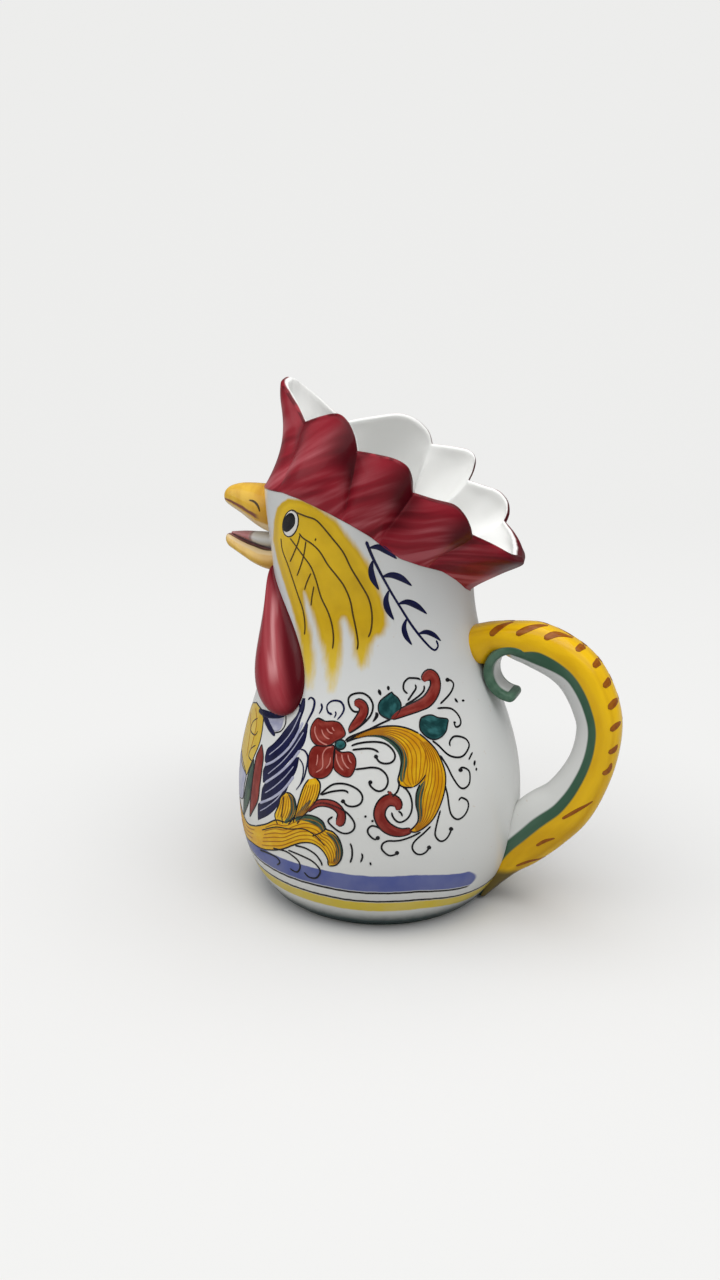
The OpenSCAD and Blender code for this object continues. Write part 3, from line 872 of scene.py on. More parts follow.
# Painted strokes: thin closed ribbons laid on a surface where the photo shows them. Each kind is lifted by
# its own height, and its rims are sunk
lifts = {"fill": 0.10, "line": 0.17, "top": 0.22, "sunk": -0.10, "edge": -0.02}
ribbon = {"shares": (0, 0.1, 0.3, 0.5, 0.7, 0.9, 1), "broad": 9, "rim": 0.02, "broadSteps": 24, "fine": 8,
          "strokeGap": 0.7, "fillGap": 0.8, "strapGap": 0.0008}


def spot(turn, s):
    # a place on the body that the photo doesn't show
    return onTurn(turn, bodyR(s), s)


def onSurface(tree, pixel):
    # where a pixel's ray meets the surface or, past the outline, the nearest place to that ray
    if isinstance(pixel, Vector):
        return pixel
    ray = pixelRay(pixel)
    hit = tree.ray_cast(photo["eye"] * mm, ray)[0]
    if hit is None:
        near = [tree.find_nearest((photo["eye"] + ray * depth) * mm) for depth in photo["depths"]]
        hit = min(near, key=lambda found: found[3])[0]
    return hit


def smoothLine(rows, gap):
    # even steps along a smooth line through rows, each a point and any further numbers
    steps = ribbon["fine"] * (len(rows) - 1)
    fine = [through(rows, k / steps) for k in range(steps + 1)]
    lengths = np.concatenate([[0], np.cumsum([math.dist(a[:3], b[:3]) for a, b in zip(fine, fine[1:])])])
    count = max(4, round(lengths[-1] / gap))
    stations = np.linspace(0, lengths[-1], count + 1)
    columns = [np.interp(stations, lengths, [row[i] for row in fine]) for i in range(len(rows[0]))]
    return [list(row) for row in zip(*columns)], float(lengths[-1])


def snapped(tree, p):
    # the place on the surface next to a point, and the way out of it
    if tree is not bodyTree:
        return tree.find_nearest(p)[:2]
    x, s = p.x * leanCos + p.z * leanSin, p.z * leanCos - p.x * leanSin
    turn = math.degrees(math.atan2(-p.y, -x))
    out = onTurn(turn, 1, 0) / mm
    return onTurn(turn, bodyR(s / mm), s / mm), out


def layRibbon(bm, tree, left, right, lift):
    # a closed strip between two edges, raised in the middle and sunk at its rims
    count = len(left) - 1
    reach = max((Vector(a) - Vector(b)).length for a, b in zip(left, right))
    shares, steps = ribbon["shares"], ribbon["broadSteps"]
    if reach >= ribbon["broad"] * mm:
        shares = [0, ribbon["rim"], *(k / steps for k in range(1, steps)), 1 - ribbon["rim"], 1]
    loop = [(q, True) for q in shares] + [(q, False) for q in reversed(shares)]

    def place(u, w):
        q, top = loop[round(u * len(loop)) % len(loop)]
        k = round(w * count)
        p, out = snapped(tree, Vector(left[k]).lerp(Vector(right[k]), q))
        height = lifts["sunk"] if not top else lifts["edge"] if q in (0, 1) else lift
        return p + out * height * mm

    wrapGrid(bm, len(loop), count, place)


def brush(bm, tree, spine, width=1.0, lift="line"):
    # a stroke along pixels of the photo; each point may carry its own width in pixels
    widths = [width if isinstance(p, Vector) or len(p) < 3 else p[2] for p in spine]
    rows = [[*onSurface(tree, p), wide * pixelSize * mm] for p, wide in zip(spine, widths)]
    if tree is gripTree:
        # the handle's strokes stop short of its middle line, where they meet their mirror images
        rows = [[x, min(y, -ribbon["strapGap"]), z, wide] for x, y, z, wide in rows]
    line, length = smoothLine(rows, ribbon["strokeGap"] * mm)
    left, right = [], []
    for k, row in enumerate(line):
        here = Vector(row[:3])
        ahead = Vector(line[min(k + 1, len(line) - 1)][:3]) - Vector(line[max(k - 1, 0)][:3])
        side = snapped(tree, here)[1].cross(ahead).normalized()
        end = min(k, len(line) - 1 - k) / (len(line) - 1) * length
        radius = max(row[3] / 2, 1e-6)
        cap = math.sqrt(max(0, 1 - (1 - min(1, end / min(radius, length / 2))) ** 2))
        left.append(here - side * radius * cap)
        right.append(here + side * radius * cap)
    layRibbon(bm, tree, left, right, lifts[lift])


def fill(bm, tree, left, right, lift="fill"):
    # a leaf or petal between two edges given in pixels
    sides = [[list(onSurface(tree, p)) for p in edge] for edge in (left, right)]
    gap = ribbon["fillGap"] * mm
    lengths = [smoothLine(rows, gap)[1] for rows in sides]
    count = max(6, round(max(lengths) / gap))
    even = [smoothLine(rows, length / count)[0] for rows, length in zip(sides, lengths)]
    layRibbon(bm, tree, *even, lifts[lift])


def petal(bm, tree, outline, lift="fill"):
    # fills a round outline between its first point and the one furthest from it
    k = max(range(len(outline)), key=lambda i: math.dist(outline[0], outline[i]))
    fill(bm, tree, outline[:k + 1], [outline[0]] + outline[:k - 1:-1], lift)


def oval(middle, wide, tall, tilt=0, points=12):
    c, s = math.cos(math.radians(tilt)), math.sin(math.radians(tilt))
    ring = [(wide * math.cos(2 * math.pi * k / points), tall * math.sin(2 * math.pi * k / points))
            for k in range(points)]
    return [(middle[0] + x * c - y * s, middle[1] + x * s + y * c) for x, y in ring]


def makeInk(name, thick, thin, gloss=0.2):
    # brushed colour: denser in the middle of the stroke, thinner where the brush dries
    paint = Paint(name)
    drag = paint.noise(1.0, paint.unrolled(7, 3), 4.0)
    pool = paint.noise(180)
    colour = paint.blend(paint.step(drag * 0.6 + pool * 0.4, 0.38, 0.66) * 0.7, thick, thin)
    return paint.finish(colour, gloss + pool * 0.1, 0.04)


inks = {
    "blackLines": makeInk("inkBlack", (0.006, 0.006, 0.008), (0.022, 0.021, 0.023)),
    "navyStrokes": makeInk("inkNavy", (0.005, 0.006, 0.036), (0.012, 0.014, 0.080)),
    "violetWash": makeInk("inkViolet", (0.36, 0.37, 0.52), (0.58, 0.58, 0.68)),
    "redScrolls": makeInk("inkRed", (0.190, 0.014, 0.010), (0.360, 0.066, 0.048)),
    "petalPink": makeInk("inkPink", (0.52, 0.17, 0.14), (0.62, 0.30, 0.25)),
    "tealBerries": makeInk("inkTeal", (0.005, 0.040, 0.042), (0.042, 0.195, 0.200)),
    "ochreLeaves": makeInk("inkOchre", (0.64, 0.28, 0.002), (0.82, 0.54, 0.012)),
    "amberLeaves": makeInk("inkAmber", (0.76, 0.40, 0.006), (0.88, 0.60, 0.028)),
    "orangeStreaks": makeInk("inkOrange", (0.36, 0.125, 0.003), (0.52, 0.230, 0.006)),
    "greenEdges": makeInk("inkGreen", (0.022, 0.062, 0.048), (0.090, 0.150, 0.085)),
    "brownLines": makeInk("inkBrown", (0.050, 0.028, 0.008), (0.120, 0.070, 0.016)),
    "eyeWhite": makeInk("inkWhite", (0.78, 0.76, 0.72), (0.70, 0.68, 0.64)),
    "handleSlashes": makeInk("inkSlash", (0.27, 0.068, 0.005), (0.42, 0.150, 0.010)),
    "yellowFeather": makeInk("inkYellow", (0.66, 0.44, 0.030), (0.72, 0.54, 0.110))}
sheets = {name: newMesh() for name in inks}


def strokes(ink, lines, width=1.2, lift="line", tree=None):
    for line in lines.values():
        brush(sheets[ink], tree or bodyTree, line, width, lift)


def petals(ink, outlines, width):
    # filled outlines, each with a thin black line round it
    for outline in outlines.values():
        petal(sheets[ink], bodyTree, outline)
    strokes("blackLines", {name: outline + outline[:2] for name, outline in outlines.items()}, width)


def dot(ink, middle, radius, lift, points=12):
    petal(sheets[ink], bodyTree, oval(middle, radius, radius, points=points), lift)


# Eye: the middle, half-width, half-height and tilt of each oval, in pixels and degrees
eye = {"rim": ((290.6, 523.4), 8.2, 14.2, 10), "white": ((290.6, 523.4), 7.1, 13.0, 10),
       "pupil": ((289.2, 522.2), 6.2, 11.0, 12)}
petal(sheets["blackLines"], bodyTree, oval(*eye["rim"]), "fill")
petal(sheets["eyeWhite"], bodyTree, oval(*eye["white"]), "line")
petal(sheets["blackLines"], bodyTree, oval(*eye["pupil"]), "top")

# Brown lines and hatching on the cheek
strokes("brownLines", {
    "top": [(291, 510), (305, 516), (315, 519.5), (322, 526), (332, 538), (343, 552), (351, 568), (360, 583),
            (368, 597), (371.5, 610), (372, 622), (370.5, 632), (368, 637.5)],
    "second": [(299, 533), (303, 538), (312, 544), (320, 552), (328, 565), (336, 575), (344, 586), (350, 600),
               (353, 615), (356.5, 632), (358, 643), (357, 650)],
    "third": [(290, 538), (296, 546), (304, 557), (311, 567), (316, 580), (321, 597), (328, 612), (332, 625),
              (333.5, 638), (332.5, 649)],
    "fourth": [(281, 538), (282.5, 550), (288, 565), (293, 580), (298, 595), (303, 610), (305, 625),
               (304.5, 635)]}, 1.6)
strokes("brownLines", {
    "hatchOne": [(300, 535), (298, 543), (294, 553), (290, 562)],
    "hatchTwo": [(306, 541), (304, 554), (301, 565), (297, 576)],
    "hatchThree": [(311, 573), (307, 582), (304.5, 590)],
    "hatchFour": [(314, 586), (312, 597), (311, 606)],
    "tick": [(316, 538), (315, 541)]}, 1.4)
print("cheek painted")

# A plain sprig on the neck, in dark blue
strokes("navyStrokes", {
    "stem": [(366, 541, 3.0), (372, 556, 2.8), (381, 574, 2.4), (391, 592, 2.2), (402, 610, 2.2),
             (413, 627, 2.4), (425, 642, 2.2), (434, 650, 2.0), (438, 646, 2.0), (436, 640, 2.4)],
    "leafOne": [(369, 548, 1.2), (378, 547, 5.4), (387, 551, 6.0), (397, 559, 1.2)],
    "leafTwo": [(373, 560, 1.2), (371, 569, 5.0), (373, 579, 5.6), (379, 590, 1.2)],
    "leafThree": [(382, 577, 1.2), (391, 575, 5.4), (401, 578, 6.0), (412, 586, 1.2)],
    "leafFour": [(389, 590, 1.2), (386, 600, 5.0), (388, 610, 5.6), (394, 620, 1.2)],
    "leafFive": [(398, 604, 1.2), (407, 602, 5.2), (417, 606, 5.6), (427, 614, 1.2)],
    "leafSix": [(407, 618, 1.2), (404, 627, 4.6), (406, 636, 5.0), (412, 645, 1.2)],
    "leafSeven": [(418, 634, 1.2), (426, 632, 4.4), (434, 635, 4.6), (441, 641, 1.2)]}, 2)

# Flower
flower = {
    "top": [(318, 718), (325, 721), (333, 721), (339, 722.5), (343, 727), (345.5, 734), (342, 738),
            (336, 741), (330, 745), (322, 746), (315, 744), (311, 738), (310.5, 730), (313, 723)],
    "left": [(333, 745), (325, 746), (315, 746), (310, 752), (308.5, 762), (309, 772), (313, 777),
             (321, 778.5), (328, 775.5), (332.5, 769), (334, 760), (335, 750)],
    "right": [(335, 748), (341, 752), (350, 752), (354.5, 756), (356, 763), (354, 771), (350, 776.5),
              (344, 776.5), (338, 773), (334, 768), (333.5, 758)]}
flowerCore = {"middle": (340.5, 744.5), "rim": 6, "core": 4.8}
petals("redScrolls", flower, 1.1)
strokes("petalPink", {
    "topOne": [(315.4, 725.8), (315, 731.7), (317.9, 739.2), (323.3, 743.3), (327.9, 745)],
    "topTwo": [(321.7, 729.2), (323.3, 734.2), (326.7, 737.9), (330, 738.8)],
    "topThree": [(326.7, 728.3), (329.2, 732.1), (333.3, 733.8)],
    "topFour": [(332.3, 726.7), (333.3, 729.6), (335, 730.7)],
    "leftOne": [(332.5, 746.7), (326.7, 748.3), (322.9, 754.2), (322.9, 762.5), (322, 768.3),
                (315.8, 772.5)],
    "leftTwo": [(330.8, 756.7), (329.6, 763.3), (325.8, 768.8)],
    "leftThree": [(317.7, 754.2), (317.5, 760), (316.2, 765.8)],
    "rightOne": [(336.2, 753.3), (337, 760), (340, 766.7), (343.8, 770.4)],
    "rightTwo": [(341.7, 753.8), (343, 760.8), (346.7, 766.7), (349.6, 768.8)],
    "rightThree": [(347.9, 754.2), (349.2, 760), (352, 763.3)]}, 1.3)
dot("blackLines", flowerCore["middle"], flowerCore["rim"], "line")
dot("tealBerries", flowerCore["middle"], flowerCore["core"], "top")

# Berries and red curls
berries = {
    "upper": [(391.7, 692), (384, 697.5), (379.5, 702), (378.3, 708), (380, 714), (386, 718), (391, 719),
              (396, 716), (400, 710), (401, 704), (398, 698), (393, 694)],
    "lower": [(421, 718), (426, 715.5), (432, 715), (438, 717.5), (447.5, 719), (447.5, 724), (446, 731),
              (441, 737), (434, 739.5), (427, 737), (421, 731), (419.5, 725)]}
petals("tealBerries", berries, 1.3)
redCurls = {
    "bud": [(348.5, 732, 1.5), (353, 727, 6), (359, 720, 8), (363.5, 712, 8), (363, 706, 7.5),
            (358.5, 703.5, 8), (354.5, 705.5, 7)],
    "big": [(391, 719, 2), (398, 714.5, 6), (408, 710, 8), (418, 706, 9), (427, 701, 10.5), (433, 693, 11),
            (435.5, 685, 10.5), (434, 677.5, 10), (429, 674.5, 9), (425, 678.5, 8), (424.5, 682, 5)],
    "low": [(412, 830, 5), (402, 832.5, 7), (393, 831, 9), (385, 826, 10), (380, 818, 10), (380, 810, 10),
            (384, 803, 10), (390, 800, 10), (396, 802, 9), (398, 807, 7), (396, 810, 3)],
    "left": [(307.4, 811.4, 2), (316, 804.3, 5), (324.6, 802.9, 6), (334.6, 805.7, 7), (341, 812.9, 7),
             (340.3, 821.4, 8), (336, 824.3, 6)],
    "stem": [(389, 794.5, 4), (391, 791.5, 4)]}
for spine in redCurls.values():
    brush(sheets["blackLines"], bodyTree, [(x, y, w + 2) for x, y, w in spine], lift="fill")
    brush(sheets["redScrolls"], bodyTree, spine, lift="line")
print("flowers painted")

# Fine black curls
strokes("blackLines", {
    "budCurl": [(359, 711.5), (354, 711.5), (350, 707), (348.3, 700), (350.5, 695.5), (356, 693.3),
                (363, 693.3), (369, 697), (372.5, 703), (372.8, 709), (370.5, 715.5), (366, 721),
                (359, 727), (352, 731.5), (348.5, 733)],
    "budComma": [(375.5, 712, 2), (377, 715, 3.4), (375, 719, 2.4), (372.5, 722, 1.2)],
    "berryStem": [(391, 719), (380, 724), (370, 729), (360, 733), (350, 737), (345, 741)],
    "berryDashOne": [(378.5, 689, 2), (379.5, 692, 3.2), (381, 695.5, 2)],
    "berryDashTwo": [(388, 685.5, 2), (388.3, 688, 2.8), (388.6, 690.5, 2)],
    "bigOne": [(421, 680), (418, 678.5), (412, 678), (408, 678.5), (404, 683), (403.5, 689), (406, 692.5),
               (408, 693.5)],
    "bigTwo": [(415, 684), (416, 688), (413, 693), (407.5, 701)],
    "bigThree": [(424, 685), (424, 690), (420, 695), (412, 701), (405, 705)],
    "rightOne": [(447.5, 679.5), (451, 680.5), (453.5, 684), (452, 690), (448, 696), (440, 704)],
    "rightDash": [(454.5, 698, 2), (456, 700.3, 2.8), (458, 702.5, 1.6)],
    "rightTwo": [(437, 708.3), (445, 707.8), (452, 709), (457.5, 714), (460.5, 720), (460, 725), (456, 727),
                 (454, 722.5)],
    "rightThree": [(432, 740.5), (438, 745), (446, 753), (452, 756.5), (459, 757.3), (464, 755), (468, 749),
                   (469, 744), (466, 739), (460, 736.5), (454, 736.5), (450.5, 740), (449.5, 743.5),
                   (450.5, 746.5)],
    "sideDashOne": [(472.5, 752), (468.5, 760)],
    "sideDashTwo": [(475, 760, 2.4), (474.5, 763, 2.8), (474, 766, 2)],
    "sideDashThree": [(476.5, 767.5, 2.4), (476, 771, 2)],
    "rightFour": [(440, 755), (447, 766), (452, 776), (457, 784), (461, 788), (465, 788), (469, 784),
                  (470, 777), (469, 771), (465, 768), (461, 767.8), (459.5, 771)],
    "rightFive": [(445, 785), (447.5, 795), (449, 806), (451, 814), (455, 818.5), (459.5, 819),
                  (465, 814.5), (468.3, 807), (467.5, 801), (463, 798), (460.5, 798), (458.5, 801)],
    "lowOne": [(440.5, 810), (438, 819), (435.5, 830), (435.5, 836), (439, 840.5), (443, 841), (447, 838),
               (450, 833), (451, 829.5)],
    "lowTwo": [(431, 826), (424, 833), (417, 839), (413, 844), (412.5, 849), (416, 853.5), (421, 854.5),
               (426, 852), (429, 848)],
    "lowThree": [(421, 832), (412, 836.5), (402, 840), (395, 841), (388, 841), (383, 843.5), (381.5, 848),
                 (384, 852), (389, 855.5), (394, 855), (396.5, 853.5)],
    "lowFour": [(381, 829), (376, 826.5), (371.5, 826), (368, 829), (368, 833), (371, 837), (375, 839.5),
                (378, 838)],
    "lowDashOne": [(350, 843), (352, 849), (352, 857), (350, 863)],
    "lowDashTwo": [(361.5, 853), (362.5, 857), (360.5, 862.5)],
    "lowDashThree": [(370, 862), (371, 865.5)],
    "lowStem": [(392, 797), (397, 792), (399, 786), (399, 780)],
    "lowInner": [(391.5, 812), (393, 817), (397, 821.5), (402, 822), (408, 818), (411.5, 811), (412, 803),
                 (410, 795), (406, 789), (402, 786.5)],
    "lowHook": [(398, 811), (401, 813), (402.5, 816.5)],
    "midOne": [(351, 746), (358, 743.5), (368, 742), (378, 742), (386, 744), (392, 749), (395, 755),
               (394, 760), (390, 763), (384, 763.5), (379, 761.5), (376, 757)],
    "midTwo": [(352, 750), (360, 749), (368, 748.5), (374, 749.5), (379, 752.5)],
    "midThree": [(355, 769.5), (363, 768.5), (372, 767.5), (380, 769), (386, 774.5), (388, 781), (386, 787.5),
                 (381, 791), (376, 790.5), (371, 786.5), (368.5, 782)],
    "midFour": [(320, 795), (326, 789), (333, 784.5), (341, 783.5), (349, 785), (357, 789), (361.5, 794),
                (362.5, 799), (360, 804), (354, 806.5), (347, 805.5), (343, 801)],
    "midFive": [(321, 795), (330, 792), (340, 790.5), (346, 791), (348.5, 793.5)],
    "leftScroll": [(305, 811), (315, 804.5), (325, 803), (337, 807), (347, 813), (354, 822), (354, 829),
                   (349, 833), (342, 833), (334, 828), (328, 821), (333, 816.5)],
    "underOne": [(273, 848), (285, 851), (293, 856), (299, 862), (300, 868), (297, 872), (292, 870),
                 (290, 868)],
    "underTwo": [(288, 850), (300, 855), (312, 861), (319, 868), (320, 873), (316, 878), (309, 877),
                 (304, 872)],
    "underThree": [(295, 845.5), (305, 848), (315, 854), (321, 862), (322, 866)],
    "underFour": [(260, 850), (268, 853), (276, 857), (280, 862), (277, 865)]}, 1.9)
# Round ends of the curls, and loose specks beside them
knobs = {"rightOne": (447.5, 679.8), "lowOne": (451, 829), "lowTwo": (429, 847.5), "lowThree": (397, 853),
         "midOne": (376, 756.6), "midThree": (370.3, 782.3), "midFour": (343, 801.3),
         "rightFour": (460.5, 770), "lowFour": (377.8, 838)}
specks = {"side": (463, 700.5), "flowerOne": (365.5, 816.5), "flowerTwo": (372.5, 821),
          "rightTwo": (454.5, 722.5)}
for centres, radius in ((knobs, 2.2), (specks, 1.3)):
    for centre in centres.values():
        dot("blackLines", centre, radius, "top", 8)
print("curls painted")

# Ochre leaves: a fill between two edges, dark outlines, and streaks along its length
leaves = {
    "scrollInner": (
        [(346, 742), (355, 736.5), (366, 731), (380, 727), (395, 726), (408, 728.5), (419, 733.5), (428, 741),
         (430, 752), (428, 764), (425, 775), (420, 782), (413, 787)],
        [(346, 742), (357, 738), (370, 735.5), (383, 736.5), (393, 742), (400, 750), (402, 760), (400, 771),
         (398, 780), (400, 785), (404, 787), (408, 787.5), (413, 787)]),
    "scrollOuter": (
        [(419, 733.5), (428, 741), (436, 750), (441.5, 761), (445, 772), (445.5, 783), (443.5, 795),
         (439, 808), (433, 819), (425, 827), (416, 832), (409, 831)],
        [(412, 732), (418, 741), (423, 752), (425, 764), (422, 776), (420, 784), (416.5, 793), (416, 804),
         (418, 813), (418, 821), (414, 827), (409, 831)]),
    "stemLeaf": (
        [(309, 779), (304, 786), (300, 797), (297, 808), (295, 816), (293, 823)],
        [(316, 778), (320, 783), (319.5, 792), (316, 801), (310, 809), (303, 816), (297, 824)]),
    "acanthus": (
        [(256, 826), (266, 824), (276, 820), (286, 822), (296, 818), (306, 815), (316, 817),
         (323, 822), (326, 829), (333, 832), (339, 839), (342, 849), (341, 859), (336, 865), (329, 866)],
        [(252, 842), (262, 848.5), (274, 850), (284, 848.5), (292, 845.5), (300, 843), (308, 842.5),
         (314, 844), (319, 847), (323, 851), (326, 855.5), (328, 860), (328, 863), (329, 866)]),
    "acanthusTip": (
        [(278, 825), (275, 815), (279, 805), (281, 797), (286, 792.5)],
        [(288, 825), (292, 820), (296, 812), (295, 800), (291, 794), (286, 792.5)])}


leafShares = (0.14, 0.29, 0.43, 0.57, 0.71, 0.86)
# the scroll is one leaf with a fold, so the outlines leave out the points where its two parts meet
outlined = {"scrollInner": (slice(7), slice(None)), "scrollOuter": (slice(None), slice(5, None))}


def between(left, right, share):
    # a line part way from one edge to the other, in pixels
    steps = max(len(left), len(right))
    pair = [[through(edge, k / (steps - 1)) for k in range(steps)] for edge in (left, right)]
    return [(mix(a[0], b[0], share), mix(a[1], b[1], share)) for a, b in zip(*pair)]


for name, edges in leaves.items():
    fill(sheets["ochreLeaves" if name.startswith("scroll") else "amberLeaves"], bodyTree, *edges)
    for share in leafShares:
        brush(sheets["orangeStreaks"], bodyTree, between(*edges, share)[1:-1], 1.1)
    for edge, kept in zip(edges, outlined.get(name, (slice(None), slice(None)))):
        brush(sheets["blackLines"], bodyTree, edge[kept], 1.6)
# the large leaf runs on round the breast and meets its mirror image
breastLeaf = ([spot(-0.1, 44), spot(12, 46), spot(24, 47), spot(34, 46.5), (247, 822), (256, 826)],
              [spot(-0.1, 33), spot(12, 34), spot(24, 35), spot(34, 36), (246, 835), (252, 842)])
fill(sheets["amberLeaves"], bodyTree, *breastLeaf)
for edge in breastLeaf:
    brush(sheets["blackLines"], bodyTree, edge, 1.6)
for share in (0.25, 0.5, 0.75):
    line = [spot(0, mix(44, 33, share)), spot(16, mix(46.5, 34.5, share)), spot(34, mix(46.5, 36, share)),
            (mix(247, 246, share), mix(822, 835, share)), (mix(256, 252, share), mix(826, 842, share))]
    brush(sheets["orangeStreaks"], bodyTree, line, 1.1)
strokes("greenEdges", {
    "scrollInner": [(366, 736, 1), (380, 736, 3), (392, 741, 6), (400.5, 750, 7), (404, 761, 7),
                    (402.5, 772, 6), (402, 782, 4)],
    "scrollOuter": [(425, 780, 1), (422, 787, 5), (419, 797, 7), (419, 807, 6), (420.5, 815, 5),
                    (419, 823, 3)],
    "stem": [(311, 800, 2), (305, 808, 6), (299, 816, 6), (296, 822, 3)],
    "acanthusTip": [(288, 794, 1), (292.5, 800, 5), (293, 808, 6.5), (290, 817, 6), (285, 823, 3)],
    "acanthus": [(300, 818.5, 3), (309, 818.5, 8), (318, 822.5, 9), (325, 831, 7)],
    "acanthusLobe": [(326, 832, 2), (334, 838, 6), (339, 848, 7.5), (338.5, 857, 7), (334, 863, 4)]})
strokes("blackLines", {
    "notch": [(413, 787), (418, 784), (422, 780), (426, 774)],
    "tipVein": [(284, 796), (283, 806), (282, 816), (283, 824)],
    "acanthusVein": [(262, 830), (276, 827), (290, 829), (304, 829), (316, 836), (325, 846)],
    "leafSplit": [(326, 829), (320, 833), (312, 836)]}, 1.3, "top")
print("leaves painted")

# Dark blue feathers on the shoulder, with a pale violet wash between them
feathers = {
    "one": ([(303, 698), (300, 708), (296, 718), (289, 727), (283, 735), (276, 744), (268, 750),
             (265, 757)],
            [(305, 698), (304, 708), (300, 720), (297, 730), (292, 738), (285, 748), (277, 757),
             (268, 762), (265, 761)]),
    "two": ([(307, 721), (303, 730), (296, 740), (289, 748), (283, 756), (275, 762), (266, 768),
             (263, 772)],
            [(308, 724), (306, 735), (302, 745), (294, 754), (285, 764), (278, 772), (270, 779),
             (263, 781)]),
    "three": ([(297, 757), (290, 764), (284, 771), (276, 778), (267, 784), (262, 790)],
              [(299, 757), (296, 768), (291, 777), (284, 785), (276, 793), (268, 798), (261, 800)]),
    "four": ([(287, 781), (281, 790), (274, 797), (265, 802), (258, 806)],
             [(289, 783), (284, 795), (277, 805), (268, 813), (258, 818)])}
# each is painted wider than its two edges, by this share on either side
featherSpread = 0.22
for edges in feathers.values():
    fill(sheets["navyStrokes"], bodyTree, between(*edges, -featherSpread), between(*edges, 1 + featherSpread))
# a small cup shape above them
cup = ([(268, 717), (276, 718), (284, 718)], [(268, 717), (274, 731), (281, 729), (284, 718)])
fill(sheets["violetWash"], bodyTree, *cup)
strokes("navyStrokes", {"cupTop": [(259, 710, 4), (266, 714, 7), (276, 716, 5), (285, 716, 2)],
                        "cupLeft": [(263, 713, 5), (267, 722, 7), (272, 731, 6), (275, 736, 2)]})
strokes("blackLines", {"cupLine": [(286, 715), (285.5, 724), (281, 731), (274, 733)]}, 1.4)
# pale shafts inside the feathers and washes along the gaps between them
strokes("violetWash", {
    "shaftOne": [(301, 712), (292, 731), (281, 745), (269, 755)],
    "shaftTwo": [(304, 732), (293, 749), (281, 763), (268, 774)],
    "shaftThree": [(294, 766), (285, 777), (274, 787), (265, 793)],
    "shaftFour": [(284, 789), (277, 799), (267, 807), (260, 811)]}, 1.1)
strokes("violetWash", {
    "gapOne": [(303, 722), (295, 739), (286, 751), (274, 761), (265, 765)],
    "gapTwo": [(300, 750), (290, 763), (278, 774), (265, 783)],
    "gapThree": [(294, 776), (284, 789), (272, 798), (260, 803)]}, 2.8)
strokes("navyStrokes", {
    "curlOne": [(296, 704), (299, 702), (300, 708), (299, 714)],
    "thick": [(308, 700, 2.2), (311, 697.5, 1.6), (314.5, 701, 2.4), (313, 710, 2.6), (308, 720, 2),
              (305, 728, 1)],
    "side": [(300, 749, 1.2), (305, 751, 1.8), (308, 758, 2.2), (306, 770, 2), (303, 780, 1.6),
             (296, 790, 1)],
    "sideInner": [(299, 758, 1), (303, 765, 1.4), (303, 775, 1.4), (300, 785, 1)],
    "tick": [(321, 703, 2), (322, 708, 2.2), (319, 714, 1.2)],
    "curlTwo": [(332.5, 714.5, 2.6), (328, 712, 1.8), (327, 706, 1.6), (330, 702, 1.6), (335, 700.5, 1.8),
                (341, 702, 2), (344, 708, 2), (342, 714, 1.8), (337, 720, 1.2)],
    "tickTwo": [(335, 711, 1.6), (336, 714, 1.6), (334, 718, 1.2)]}, 1.6)

# Stripes down the breast
breast = {
    "yellow": ("yellowFeather", [spot(37, 97), spot(30, 95), spot(25, 90), spot(24, 82), spot(26, 75),
                                 spot(30, 70), (247, 775)],
               [spot(37, 97), (257, 703), (263, 712), (263, 725), (260, 742), (254, 757), (247, 775)]),
    "red": ("redScrolls", [(262, 744), (256.5, 756), (254, 770), (252, 785), (250.5, 800), (250, 817)],
            [(262, 744), (263.5, 756), (262, 770), (260, 785), (257.5, 802), (250, 817)]),
    "green": ("greenEdges", [(254, 759), (249, 772), (246, 785), (244, 800), (244, 816)],
              [(254, 759), (253.5, 772), (251.5, 785), (249, 802), (244, 816)]),
    "violet": ("violetWash", [spot(31, 72), spot(26, 68), spot(24, 60), spot(26, 52), spot(31, 48.5)],
               [spot(31, 72), (246, 772), (244.5, 785), (243, 798), spot(31, 48.5)]),
    "beside": ("navyStrokes", [spot(15, 100), spot(10.5, 88), spot(10, 75), spot(12.5, 62), spot(17, 51)],
               [spot(15, 100), spot(19, 89), spot(20.5, 76), spot(20, 63), spot(17, 51)]),
    "middle": ("redScrolls", [spot(-0.1, 103), spot(-0.1, 87), spot(-0.1, 71), spot(-0.1, 54)],
               [spot(-0.1, 103), spot(6.5, 89), spot(8, 73), spot(-0.1, 54)])}
for ink, *edges in breast.values():
    fill(sheets[ink], bodyTree, *edges)
    for edge in edges:
        brush(sheets["blackLines"], bodyTree, edge, 1.4)
strokes("orangeStreaks", {
    "veinOne": [(256, 708), (257, 722), (254, 738), (250, 752)],
    "veinTwo": [(251, 712), (251, 726), (249, 742), (247, 756)]}, 1.4)
# Shafts and barbs on the breast's middle feathers, which the photo doesn't show: the ink, the shaft's turn,
# top and foot, the longest barb's reach in degrees, the number of barbs and the sides that have them
barbed = {"beside": ("violetWash", 15.3, 95, 58, 3.8, 8, (-1, 1)),
          "middle": ("petalPink", 0.4, 97, 62, 5.2, 7, (1,))}
barb = {"end": 0.2, "bend": 0.6, "bendDrop": 1.2, "drop": 4}
for ink, turn, top, low, reach, count, sides in barbed.values():
    strokes(ink, {"shaft": [spot(turn, top), spot(turn, mix(top, low, 0.5)), spot(turn, low)]}, 1.6)
    for k in range(count):
        share = (k + 0.5) / count
        s, wide = mix(top, low, share), reach * math.sin(math.pi * mix(barb["end"], 1 - barb["end"], share))
        for side in sides:
            bend = spot(turn + side * wide * barb["bend"], s - barb["bendDrop"])
            strokes(ink, {"barb": [spot(turn, s), bend, spot(turn + side * wide, s - barb["drop"])]}, 1.4)
strokes("blackLines", {
    "curlOne": [(258, 718), (253, 722), (251, 730), (255, 735), (258, 731)],
    "curlTwo": [(256, 745), (251, 749), (249, 756), (252, 761)]}, 1.4)

